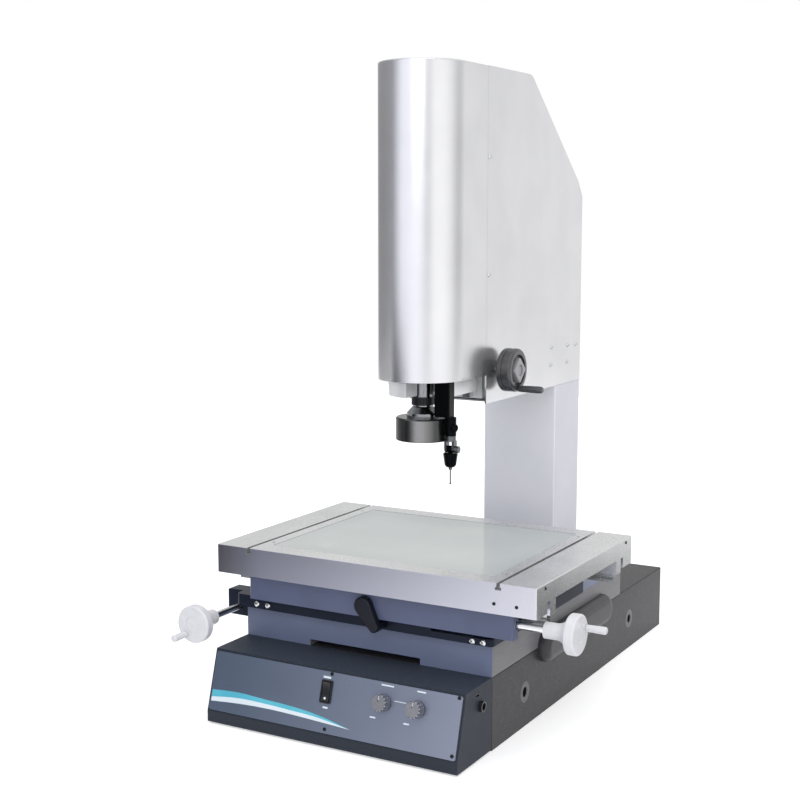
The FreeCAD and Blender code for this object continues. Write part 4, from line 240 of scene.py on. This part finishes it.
def textured_paint(name, dark, light, roughness, **sockets):
    """Powder coat on folded sheet: a fine pebble that breaks up the light."""
    return finish(
        name,
        lambda tree: ramp(tree, noise(tree, 1.4, 3), (0.35, dark), (0.65, light)),
        patchy(roughness - 0.05, roughness + 0.05, 25, 4),
        0.0,
        grain(0.9, 2),
        0.06,
        **sockets,
    )


def moulded(name, dark, light, roughness, grain_mm=0.8, **sockets):
    """Injection-moulded ABS: a spark-eroded grain, and handling marks in the gloss."""
    return finish(
        name,
        clouded(dark, light, 12, 4),
        patchy(roughness - 0.06, roughness + 0.08, 6, 5),
        0.0,
        grain(grain_mm, 2),
        0.03,
        **sockets,
    )


def machined(name, dark, light, roughness, stretch, line_mm=0.6, metallic=1.0):
    """Ground or milled metal: fine lines along the way that the tool went."""
    return finish(
        name,
        clouded(dark, light, line_mm * 2, 3, stretch),
        patchy(roughness - 0.07, roughness + 0.07, line_mm, 4, stretch),
        metallic,
        grain(line_mm, 2, stretch),
        0.012,
    )


def anodised(name, dark, light, roughness, grain_mm=0.7, metallic=0.85):
    """Bead-blasted and anodised aluminium: an even frost, with slow changes of tone."""
    return finish(
        name,
        clouded(dark, light, 60, 3),
        patchy(roughness - 0.05, roughness + 0.06, grain_mm, 3),
        metallic,
        grain(grain_mm, 2),
        0.015,
    )


CRYSTAL_MM = 2.2


def granite():
    """Honed black granite: dark plagioclase and paler mica flecks of one to three millimetres."""
    def colour(tree):
        coords = add(tree, "ShaderNodeTexCoord").outputs["Object"]
        links = {"Vector": coords, "Scale": per(CRYSTAL_MM), "Randomness": 1.0}
        crystals = add(tree, "ShaderNodeTexVoronoi", links)
        tone = add(tree, "ShaderNodeSeparateColor", {"Color": crystals.outputs["Color"]}).outputs["Red"]
        stone = ramp(tree, tone, (0.0, "#2C2B2E"), (0.85, "#343235"), (0.96, "#434146"), (1.0, "#5E5C61"))
        cloud = ramp(tree, noise(tree, 14, 4), (0.35, "#302E31"), (0.65, "#383639"))
        return blend(tree, 0.65, stone, cloud)
    return finish(
        "honed_black_granite",
        colour,
        patchy(0.34, 0.46, 3, 4),
        0.0,
        grain(0.9, 2),
        0.008,
        Specular_IOR_Level=0.25,
    )


def bed_paint_with_painted_side_sheen():
    """The bed's enamel, on all its faces but the two sides, which are drawn as ground metal and made paler
    grey with a painted sheen.
    """
    def colour(tree):
        enamel = ramp(tree, noise(tree, 90, 3), (0.3, "#6B7590"), (0.7, "#747E99"))
        # Painted sheen: faces that look along X are paler grey than the enamel front, drawn with grinding
        # lines as bare ground metal
        ground = ramp(tree, noise(tree, 1.0, 3, ALONG_Y), (0.3, "#6C6B6F"), (0.7, "#7A797D"))
        return blend(tree, faces_along(tree, "X"), enamel, ground)
    return finish(
        "bed_satin_enamel",
        colour,
        patchy(0.32, 0.41, 40, 4),
        0.0,
        grain(1.6, 1),
        0.02,
        Specular_IOR_Level=0.35,
    )


def panel_film():
    """Metallic polyester film on the control panel, with painted light that makes it a little paler to the
    right.
    """
    def colour(tree):
        # Painted light: the film's tone pales from the left end of the panel to the right
        along = place_along(tree, "X", *PANEL_ENDS)
        tone = ramp(tree, along, (0.0, "#6A7A92"), (1.0, "#8A90A2"))
        return blend(tree, span(tree, noise(tree, 90, 3), 0.0, 0.12), tone, linear("#C8CCDA"))
    return finish(
        "panel_polyester_film",
        colour,
        patchy(0.26, 0.32, 40, 4),
        0.6,
        grain(70, 1),
        0.01,
    )


def coated_table():
    """Bead-blasted table; its front apron carries a painted reflection: darker towards the left, and bluish.
    """
    def colour(tree):
        frost = ramp(tree, noise(tree, 60, 3), (0.3, "#CFD0D0"), (0.7, "#DADBDB"))
        # Painted reflection on the front apron: dark at its left end, pale and bluish to the right
        along = place_along(tree, "X", TABLE_LEFT, TABLE_RIGHT)
        apron = ramp(tree, along, (0.0, "#808088"), (0.15, "#B0B2C4"), (1.0, "#CCCCD6"))
        return blend(tree, faces_along(tree, "Y", -1), frost, apron)
    return finish(
        "table_anodised",
        colour,
        patchy(0.22, 0.33, 0.9, 3),
        0.8,
        grain(0.9, 2),
        0.015,
    )


def column_paint():
    """Silver enamel, with painted light on the front of the column, which the head shades: whiter there than
    on its sides.
    """
    def colour(tree):
        sides = ramp(tree, noise(tree, 90, 3), (0.3, "#D0D1D9"), (0.7, "#D8D9E0"))
        # Painted light: the front faces are whiter than the sides
        front = ramp(tree, noise(tree, 90, 3), (0.3, "#F2F3F8"), (0.7, "#FAFAFD"))
        return blend(tree, faces_along(tree, "X"), front, sides)
    return finish(
        "column_silver_enamel",
        colour,
        patchy(0.38, 0.47, 40, 4),
        0.05,
        grain(1.6, 1),
        0.02,
    )


def box_paint():
    """Powder coat of the control box, with painted light that makes it paler on top than on its sides."""
    def colour(tree):
        fine = noise(tree, 1.4, 3)
        sides = ramp(tree, fine, (0.35, "#2A3039"), (0.65, "#333943"))
        # Painted light: the upward faces are paler than the sides
        top = ramp(tree, fine, (0.35, "#39404B"), (0.65, "#434A55"))
        return blend(tree, faces_along(tree, "Z", 1), sides, top)
    return finish(
        "box_powder_coat",
        colour,
        patchy(0.45, 0.55, 25, 4),
        0.0,
        grain(0.9, 2),
        0.06,
        Specular_IOR_Level=0.18,
    )


def turned_gunmetal():
    """The ring lamp's turned rim, with dark and pale stretches round it that stand for its reflections."""
    def colour(tree):
        normal = add(tree, "ShaderNodeTexCoord").outputs["Normal"]
        turn = add(tree, "ShaderNodeTexGradient", {"Vector": normal}, gradient_type="RADIAL").outputs["Fac"]
        return ramp(tree, turn, (0.2, "#303032"), (0.28, "#888888"), (0.33, "#888888"), (0.4, "#484848"))
    return finish(
        "ring_lamp_gunmetal",
        colour,
        patchy(0.2, 0.28, 40, 4),
        0.9,
        grain(1.2, 1, (1, 1, 8)),
        0.01,
    )


def stage_glass():
    """Float glass with its faint green body, and a ground haze that softens what lies below."""
    return finish(
        "float_glass",
        clouded("#D6DEDB", "#DDE4E1", 120, 2),
        patchy(0.04, 0.09, 30, 3),
        0.0,
        grain(60, 1),
        0.004,
        IOR=1.52,
        Transmission_Weight=0.35,
    )


def diffusing_plastic():
    """Opal acrylic over the ring of lamps: milky, with a soft glow under the surface."""
    return finish(
        "opal_acrylic",
        clouded("#EDEDE8", "#F6F6F2", 8, 2),
        patchy(0.35, 0.45, 4, 3),
        Subsurface_Weight=0.3,
        Subsurface_Radius=(0.003, 0.003, 0.003),
        IOR=1.49,
    )


def circuit_board():
    """Glass-fibre board under green solder mask: copper runs show as a paler green."""
    def colour(tree):
        coords = add(tree, "ShaderNodeTexCoord").outputs["Object"]
        cells = add(tree, "ShaderNodeTexVoronoi", {"Vector": coords, "Scale": per(4)}, distance="MANHATTAN")
        return ramp(tree, cells.outputs["Distance"], (0.25, "#1B4A30"), (0.3, "#2C6B45"), (0.45, "#1F5236"))
    return finish("solder_mask_board", colour, patchy(0.3, 0.42, 5, 3))


# By material slot, or by node where one piece of a slot looks different from the rest
FINISHES = {
    "black_granite": granite(),
    "insert_steel": machined("turned_stainless", "#5E5F61", "#707173", 0.4, (1, 1, 1), 0.5),
    "bed_paint": bed_paint_with_painted_side_sheen(),
    "ground_steel": machined("ground_steel", "#B4B6B9", "#CFD1D3", 0.26, ALONG_Y, 0.5),
    "cover_plastic": moulded("scale_cover_abs", "#3B3A3E", "#444347", 0.36, Specular_IOR_Level=0.3),
    "lamp_metal": anodised("lamp_anodised", "#2E2F31", "#3A3B3D", 0.4),
    "bronze": machined("bearing_bronze", "#8F6F3F", "#A98552", 0.35, (1, 1, 1), 0.8),
    # Saddle: black enamel, darkened and blued with painted shade from the drive cover over it
    "saddle_paint": satin_paint("saddle_enamel_and_painted_shade", "#151C2D", "#1B2334", 0.36, Specular_IOR_Level=0.15),
    "block_steel": machined("blacked_steel", "#4A4C50", "#5A5C60", 0.38, ALONG_Y, 0.8),
    "lever_plastic": moulded("lever_black_abs", "#0E111A", "#141826", 0.36, Specular_IOR_Level=0.25),
    "table_silver": coated_table(),
    "stage_glass": stage_glass(),
    "drive_paint": satin_paint("drive_cover_enamel", "#525A74", "#5B6380", 0.34, Specular_IOR_Level=0.4),
    "crank_plastic": moulded("crank_white_abs", "#DADADD", "#E2E2E5", 0.32, 2.0),
    "grip_plastic": moulded("grip_white_abs", "#D8D8DB", "#E0E0E3", 0.28, 2.0),
    "box_paint": box_paint(),
    "panel_film": panel_film(),
    "knob_plastic": moulded("knob_black_abs", "#17181B", "#202125", 0.26),
    "board": circuit_board(),
    # Frame under the head and column post: near white, with painted light that lifts these shaded parts to a
    # pale tone
    "cast_grey": textured_paint("cast_iron_paint_and_painted_light", "#EDEEF0", "#F4F5F6", 0.6),
    "column_paint": column_paint(),
    "head_silver": satin_paint("head_silver_metallic", "#D6D6D9", "#DEDEE0", 0.24, 0.9),
    "belt_rubber": moulded("belt_rubber", "#141414", "#1E1E1E", 0.7, 1.2),
    # Lens plate: light anodised, whitened further with painted light where the head shades it
    "carriage_grey": anodised("lens_plate_anodised_and_painted_light", "#E6E7E9", "#F2F3F4", 0.34, 0.7, 0.5),
    "lens_metal": machined("lens_nickelled", "#7E7F82", "#9A9B9E", 0.2, (1, 1, 0.2), 0.6),
    "camera_metal": anodised("camera_black_anodised", "#1B1C1F", "#26272A", 0.38, 0.6, 0.6),
    "diffuser": diffusing_plastic(),
    "ring_plastic": turned_gunmetal(),
    "probe_metal": anodised("probe_black_anodised", "#090A0B", "#0F1012", 0.36, 0.6, 0.95),
    "wheel_plastic": moulded("wheel_black_abs", "#333336", "#3F3F43", 0.22, 1.0, Specular_IOR_Level=0.8),
    "boss_plastic": moulded("boss_grey_abs", "#909094", "#9C9CA0", 0.3, 1.0),
    "left_light_knob": machined("metallised_knob", "#8C8D92", "#A2A3A8", 0.3, (1, 1, 1), 0.8, 0.8),
    "right_light_knob": machined("metallised_knob_pair", "#8C8D92", "#A2A3A8", 0.3, (1, 1, 1), 0.8, 0.8),
    "x_rod": machined("x_rod_hard_chrome", "#E0E1E2", "#F0F0F1", 0.16, (0.03, 1, 1), 0.4),
    "probe_knuckle": machined("probe_joint_nickelled", "#5E5F62", "#6F7073", 0.28, (1, 1, 1), 0.6),
}
PRINT_WHITE = satin_paint("screen_print_white", "#DDE9F0", "#E8F2F6", 0.4)
PRINT_CYAN = satin_paint("screen_print_cyan", "#4FB4CA", "#66C8DA", 0.38)
BRIGHT_STEEL = machined("bright_zinc_screw", "#D2D3D5", "#E2E3E4", 0.24, (1, 1, 1), 0.6)
DARK_STEEL = machined("black_oxide_screw", "#2A2B2E", "#3A3B3E", 0.35, (1, 1, 1), 0.6)
KNOB_INLAY = moulded("knob_inlay_black_abs", "#141519", "#1F2026", 0.3, 0.6)

slots = {part["node"]: part["material_slot"] for part in frame["record"]["subparts"]}
for node, solid in frame["nodes"].items():
    for place in solid.material_slots:
        place.material = FINISHES.get(node, FINISHES[slots[node]])


# Pieces

def piece(name, shape, body, material, smooth=35):
    """Turns a finished bmesh into a named piece that rides on a body."""
    bmesh.ops.remove_doubles(shape, verts=shape.verts, dist=1e-7)
    bmesh.ops.recalc_face_normals(shape, faces=shape.faces)
    mesh = bpy.data.meshes.new(name)
    shape.to_mesh(mesh)
    shape.free()
    mesh.shade_smooth()
    mesh.set_sharp_from_angle(angle=math.radians(smooth))
    mesh.materials.append(material)
    made = bpy.data.objects.new(name, mesh)
    bpy.context.scene.collection.objects.link(made)
    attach(made, body)
    return made


# Shares of a screw head's radius and height, from its foot to its flat top
BUTTON_PROFILE = ((1.0, 0.35), (0.9, 0.75), (0.68, 1.0))
SOCKET_DEPTH = 0.7


def screw_head(shape, stand, radius, height, socket_share=0.5):
    """Button head with a hexagon socket."""
    rim = bmesh.ops.create_circle(shape, segments=24, radius=radius * MM)["verts"]
    foot_edges = list({edge for vert in rim for edge in vert.link_edges})
    made = set(rim)
    for share, rise in BUTTON_PROFILE:
        grown = bmesh.ops.extrude_edge_only(shape, edges=foot_edges)["geom"]
        ring = [part for part in grown if isinstance(part, bmesh.types.BMVert)]
        foot_edges = [part for part in grown if isinstance(part, bmesh.types.BMEdge)
                      and all(vert in ring for vert in part.verts)]
        for vert in ring:
            flat = Vector((vert.co.x, vert.co.y)).normalized() * radius * share * MM
            vert.co = (flat.x, flat.y, height * rise * MM)
        made.update(ring)
    socket = bmesh.ops.create_circle(shape, segments=6, radius=radius * socket_share * MM)["verts"]
    bmesh.ops.translate(shape, verts=socket, vec=(0, 0, height * MM))
    socket_edges = list({edge for vert in socket for edge in vert.link_edges})
    bmesh.ops.bridge_loops(shape, edges=foot_edges + socket_edges)
    well = bmesh.ops.extrude_edge_only(shape, edges=socket_edges)["geom"]
    low = [part for part in well if isinstance(part, bmesh.types.BMVert)]
    bmesh.ops.translate(shape, verts=low, vec=(0, 0, -height * SOCKET_DEPTH * MM))
    bmesh.ops.contextual_create(shape, geom=low)
    made.update(socket)
    made.update(low)
    bmesh.ops.transform(shape, matrix=stand, verts=list(made))


def screws(name, stands, radius, height, body, material, slot, socket_share=0.5):
    """A set of equal screws as one piece."""
    shape = bmesh.new()
    for stand in stands:
        screw_head(shape, stand, radius, height, socket_share)
    return piece(name, shape, body, material)


def printed(name, outline, stand, body, material, thick=0.03):
    """Printed mark: a filled flat curve, a hair above the surface that it is printed on."""
    curve = bpy.data.curves.new(name, "CURVE")
    curve.dimensions = "2D"
    curve.fill_mode = "BOTH"
    curve.extrude = thick * MM
    curve.resolution_u = 16
    for ring in outline:
        spline = curve.splines.new("BEZIER")
        spline.use_cyclic_u = True
        spline.bezier_points.add(len(ring) - 1)
        for point, (x, y, kind) in zip(spline.bezier_points, ring):
            point.co = (x * MM, y * MM, 0)
            point.handle_left_type = point.handle_right_type = kind
    flat = bpy.data.objects.new(name + "_curve", curve)
    bpy.context.scene.collection.objects.link(flat)
    bpy.context.view_layer.update()
    mesh = bpy.data.meshes.new_from_object(flat)
    bpy.data.objects.remove(flat)
    shape = bmesh.new()
    shape.from_mesh(mesh)
    bmesh.ops.transform(shape, matrix=stand, verts=shape.verts)
    return piece(name, shape, body, material)


def bar(x, y, width, height):
    """Outline of a plain printed bar."""
    half, tall = width / 2, height / 2
    return [[(x - half, y - tall, "VECTOR"), (x + half, y - tall, "VECTOR"),
             (x + half, y + tall, "VECTOR"), (x - half, y + tall, "VECTOR")]]


# Screws of the head covers, the saddle, the control panel and the table's aprons
head_stands = [facing(spot(side * HEAD_SIDE, BASE_FRONT + back, z), (side, 0, 0))
               for side in (-1, 1) for back, z in SIDE_SCREWS]
screws("head_cover_screws", head_stands, *HEAD_SCREW, "base", BRIGHT_STEEL, "head_silver")

front_stands = [facing(spot(x, SADDLE_FRONT, z), (0, -1, 0)) for x, z in SADDLE_SCREWS]
screws("saddle_front_screws", front_stands, *SADDLE_SCREW, "saddle", BRIGHT_STEEL, "insert_steel", 0.22)

panel_stands = [on_panel(x, up) for x in PANEL_SCREW_XS for up in PANEL_SCREW_UPS]
screws("panel_screws", panel_stands, *PANEL_SCREW, "base", DARK_STEEL, "knob_plastic")

end_stands = [facing(spot(x, TABLE_FRONT, z), (0, -1, 0)) for x, z in APRON_FRONT_SCREWS]
end_stands += [facing(spot(TABLE_RIGHT, BASE_FRONT + back, z), (1, 0, 0)) for back, z in APRON_SIDE_SCREWS]
screws("table_edge_screws", end_stands, *EDGE_SCREW, "table", DARK_STEEL, "knob_plastic")


# Printed marks on the control panel

FILM = 0.06
STRIPE_TOP = ((-195, 31.0), (-150, 33.4), (-105, 31.5), (-60, 29.6), (-15, 25.0))
STRIPE_MIDDLE = ((-195, 21.0), (-150, 25.6), (-105, 25.6), (-60, 24.0), (-15, 21.6))
STRIPE_LOW = ((-195, 15.0), (-150, 18.2), (-105, 19.6), (-60, 18.9), (-15, 17.0))
STRIPE_TIP = (37.0, 14.6)


def band(upper, lower):
    """Outline of a stripe between two smooth edges that meet at its tip; its other end is cut straight."""
    points = upper + (STRIPE_TIP,) + lower[::-1]
    corners = (upper[0], STRIPE_TIP, lower[0])
    return [[(x, y, "VECTOR" if (x, y) in corners else "AUTO") for x, y in points]]


def panel_mark(name, outline, material=PRINT_WHITE):
    """Mark printed on the control panel's film."""
    printed(name, outline, on_panel(0, 0, FILM), "base", material)


panel_mark("stripe_white", band(STRIPE_MIDDLE, STRIPE_LOW))
panel_mark("stripe_cyan", band(STRIPE_TOP, STRIPE_MIDDLE), PRINT_CYAN)
TOP_MARK_UP, LOW_MARK_UP = 81.5, 37.0
for index, (x, width) in enumerate(zip(KNOB_XS, (19, 13))):
    above = bar(x + 3, TOP_MARK_UP, width, 2.0)
    below = bar(x - 13.5, LOW_MARK_UP, 8.5, 2.0)
    beside = bar(x - 15.5, KNOB_UP - 4, 3, 2.2)
    panel_mark(f"knob_marks_{index}", above + below + beside)
panel_mark("knob_link", bar(sum(KNOB_XS) / 2, KNOB_UP + 5, 20, 0.9))
panel_mark("switch_on_mark", bar(ROCKER_X - 2, 77.5, 12, 2.6))
panel_mark("switch_off_mark", bar(ROCKER_X + 1, LOW_MARK_UP, 8, 2.4))


def disc(shape, stand, radius, height, edge):
    """Flat disc with a rounded rim."""
    made = bmesh.ops.create_circle(shape, cap_ends=True, segments=48, radius=radius * MM)["verts"]
    faces = [face for face in shape.faces if set(face.verts) <= set(made)]
    grown = bmesh.ops.extrude_face_region(shape, geom=faces)
    top = [part for part in grown["geom"] if isinstance(part, bmesh.types.BMVert)]
    bmesh.ops.translate(shape, verts=top, vec=(0, 0, height * MM))
    rim = [e for e in shape.edges if e.verts[0] in top and e.verts[1] in top]
    bmesh.ops.bevel(shape, geom=rim, offset=edge * MM, segments=3, profile=0.5, affect="EDGES", material=-1)
    bmesh.ops.transform(shape, matrix=stand, verts=shape.verts)


INLAY_RADIUS, INLAY_HEIGHT, INLAY_EDGE = 9.6, 0.7, 0.4
for index, x in enumerate(KNOB_XS):
    body = ("left_knob", "right_knob")[index]
    inlay = bmesh.new()
    disc(inlay, on_panel(x, KNOB_UP, KNOB_FACE), INLAY_RADIUS, INLAY_HEIGHT, INLAY_EDGE)
    piece(f"knob_inlay_{index}", inlay, body, KNOB_INLAY)
    pointer_stand = on_panel(x, KNOB_UP, KNOB_FACE + INLAY_HEIGHT + 0.02)
    printed(f"knob_pointer_{index}", bar(0, 6.5, 1.4, 5.0), pointer_stand, body, PRINT_WHITE)
dot = bmesh.new()
disc(dot, on_panel(ROCKER_X, KNOB_UP - 9, 2.3), 1.7, 1.0, 0.4)
piece("rocker_dot", dot, "rocker", PRINT_WHITE)


# Studio

def sees_white(tree, mirrors):
    """1 for rays that see a white background: the camera's, those through glass, and mirrors' too if asked."""
    path = add(tree, "ShaderNodeLightPath").outputs
    white = arithmetic(tree, "MAXIMUM", path["Is Camera Ray"], path["Is Transmission Ray"])
    return arithmetic(tree, "MAXIMUM", white, path["Is Glossy Ray"]) if mirrors else white


FLOOR_HALF, FLOOR_LIFT = 3.2, 0.45


def floor():
    """Pale sweep that the machine stands on; its shadow stays."""
    shape = bmesh.new()
    bmesh.ops.create_grid(shape, x_segments=1, y_segments=1, size=FLOOR_HALF)
    mesh = bpy.data.meshes.new("floor")
    shape.to_mesh(mesh)
    shape.free()
    material = bpy.data.materials.new("pale_floor")
    material.use_nodes = True
    tree = material.node_tree
    tree.nodes.clear()
    matt = add(tree, "ShaderNodeBsdfDiffuse", {"Color": linear("#F2F2F2")}).outputs["BSDF"]
    lift = arithmetic(tree, "MULTIPLY", sees_white(tree, True), FLOOR_LIFT)
    glow_links = {"Color": linear("#FFFFFF"), "Strength": lift}
    glow = add(tree, "ShaderNodeEmission", glow_links).outputs["Emission"]
    both = add(tree, "ShaderNodeAddShader", {0: matt, 1: glow}).outputs["Shader"]
    add(tree, "ShaderNodeOutputMaterial", {"Surface": both})
    mesh.materials.append(material)
    made = bpy.data.objects.new("floor", mesh)
    made.location.z = -0.0005
    bpy.context.scene.collection.objects.link(made)


def softbox(name, azimuth, distance, height, size, power):
    """Rectangular soft light that looks at the head; the camera doesn't see it."""
    lamp = bpy.data.lights.new(name, "AREA")
    lamp.shape = "RECTANGLE"
    lamp.size, lamp.size_y = size
    lamp.energy = power
    turn = math.radians(azimuth)
    made = bpy.data.objects.new(name, lamp)
    made.location = (distance * math.cos(turn), -0.1 + distance * math.sin(turn), height)
    made.rotation_euler = (Vector((0, -0.1, 0.45)) - made.location).to_track_quat("-Z", "Y").to_euler()
    made.visible_camera = False
    bpy.context.scene.collection.objects.link(made)


def mixed(tree, share, low, high):
    """Blends two values."""
    links = {"Factor": share, "A": low, "B": high}
    return add(tree, "ShaderNodeMix", links, data_type="FLOAT").outputs["Result"]


def grey_ramp(tree, factor, *stops):
    """Ramp through (degrees round the machine, brightness) stops, as a value."""
    node = add(tree, "ShaderNodeValToRGB", {"Fac": factor})
    elements = node.color_ramp.elements
    while len(elements) < len(stops):
        elements.new(0.5)
    for element, (degrees, level) in zip(elements, stops):
        element.position = degrees / 360 + 0.5
        element.color = (level / WALL_LEVEL, level / WALL_LEVEL, level / WALL_LEVEL, 1)
    return arithmetic(tree, "MULTIPLY", node.outputs["Color"], WALL_LEVEL)


# Brightness of the walls, and their tint, by degrees round the machine from its right-hand side
WALL_LEVEL = 1.4
WALL_CHANGE, CEILING_CHANGE = (0.08, 0.22), (0.5, 0.85)
LOW_WALLS = ((-180, 0.27), (-144, 0.33), (-119, 1.34), (-78, 1.38), (-66, 1.24), (-56, 0.9),
             (-46, 0.9), (-34, 1.36), (-6, 1.36), (14, 1.1), (30, 0.70), (46, 0.64),
             (62, 1.0), (95, 1.0), (120, 0.6), (150, 0.3), (180, 0.27))
HIGH_WALLS = ((-180, 0.45), (-134, 0.5), (-112, 1.3), (-90, 1.2), (-40, 1.1), (0, 1.05),
              (30, 0.9), (95, 0.9), (120, 0.9), (150, 0.6), (180, 0.45))
WALL_TINTS = ((-180, "#FFFFFF"), (-150, "#F6F7FF"), (-80, "#F6F7FF"), (-40, "#FFFFFF"))


def studio_walls():
    """White to the camera; the machine stands among pale panels with greyer gaps between them."""
    world = bpy.data.worlds.new("studio_walls")
    world.use_nodes = True
    tree = world.node_tree
    tree.nodes.clear()
    way = add(tree, "ShaderNodeTexCoord").outputs["Generated"]
    turn = add(tree, "ShaderNodeTexGradient", {"Vector": way}, gradient_type="RADIAL").outputs["Fac"]
    rise = add(tree, "ShaderNodeSeparateXYZ", {"Vector": way}).outputs["Z"]
    above = share_between(tree, rise, *WALL_CHANGE)
    overhead = share_between(tree, rise, *CEILING_CHANGE)
    walls = mixed(tree, above, grey_ramp(tree, turn, *LOW_WALLS), grey_ramp(tree, turn, *HIGH_WALLS))
    room = mixed(tree, overhead, walls, 1.0)
    strength = mixed(tree, sees_white(tree, False), room, 1.0)
    cool = ramp(tree, turn, *[(degrees / 360 + 0.5, code) for degrees, code in WALL_TINTS])
    colour = blend(tree, sees_white(tree, False), cool, linear("#FFFFFF"))
    back_links = {"Color": colour, "Strength": strength}
    back = add(tree, "ShaderNodeBackground", back_links).outputs["Background"]
    add(tree, "ShaderNodeOutputWorld", {"Surface": back})
    bpy.context.scene.world = world


def dark_card(name, corner, across, up, along, low, high):
    """Black card by the machine that only mirrors see; it fades out between two places along an axis."""
    shape = bmesh.new()
    corner, across, up = Vector(corner), Vector(across), Vector(up)
    shape.faces.new([shape.verts.new(corner + step) for step in (Vector(), across, across + up, up)])
    mesh = bpy.data.meshes.new(name)
    shape.to_mesh(mesh)
    shape.free()
    material = bpy.data.materials.new(name)
    material.use_nodes = True
    tree = material.node_tree
    tree.nodes.clear()
    coords = add(tree, "ShaderNodeTexCoord").outputs["Object"]
    place = add(tree, "ShaderNodeSeparateXYZ", {"Vector": coords}).outputs[along]
    share = share_between(tree, place, low, high)
    card = add(tree, "ShaderNodeBsdfDiffuse", {"Color": linear("#101010")}).outputs["BSDF"]
    clear = add(tree, "ShaderNodeBsdfTransparent").outputs["BSDF"]
    both = add(tree, "ShaderNodeMixShader", {"Fac": share, 1: card, 2: clear}).outputs["Shader"]
    add(tree, "ShaderNodeOutputMaterial", {"Surface": both})
    mesh.materials.append(material)
    made = bpy.data.objects.new(name, mesh)
    made.location.z = 0.001
    made.visible_camera = made.visible_diffuse = made.visible_shadow = made.visible_transmission = False
    bpy.context.scene.collection.objects.link(made)


floor()
studio_walls()
dark_card("front_card", (-1.9, -2.2, 0), (1.92, 0, 0), (0, 1.5, 0), along="X", low=-0.8, high=0.0)
dark_card("front_screen", (-1.6, -1.3, 0), (1.6, 0, 0), (0, 0, 0.42), along="X", low=-0.75, high=0.0)
dark_card("side_card", (0.4, 0, 0), (1.1, 0, 0), (0, 1.25, 0), along="Y", low=0.35, high=1.25)
softbox("front_softbox", azimuth=-75, distance=2.2, height=1.5, size=(1.2, 1.2), power=5)
softbox("top_softbox", azimuth=-60, distance=0.6, height=2.6, size=(1.6, 1.6), power=6)

lens = bpy.data.cameras.new("photo_camera")
lens.lens = CAMERA_LENS
camera = bpy.data.objects.new("photo_camera", lens)
camera.location = CAMERA_PLACE
camera.rotation_euler = (math.radians(CAMERA_PITCH), 0, math.radians(CAMERA_TURN))
bpy.context.scene.collection.objects.link(camera)
bpy.context.scene.camera = camera
bpy.context.scene.view_settings.view_transform = "Standard"
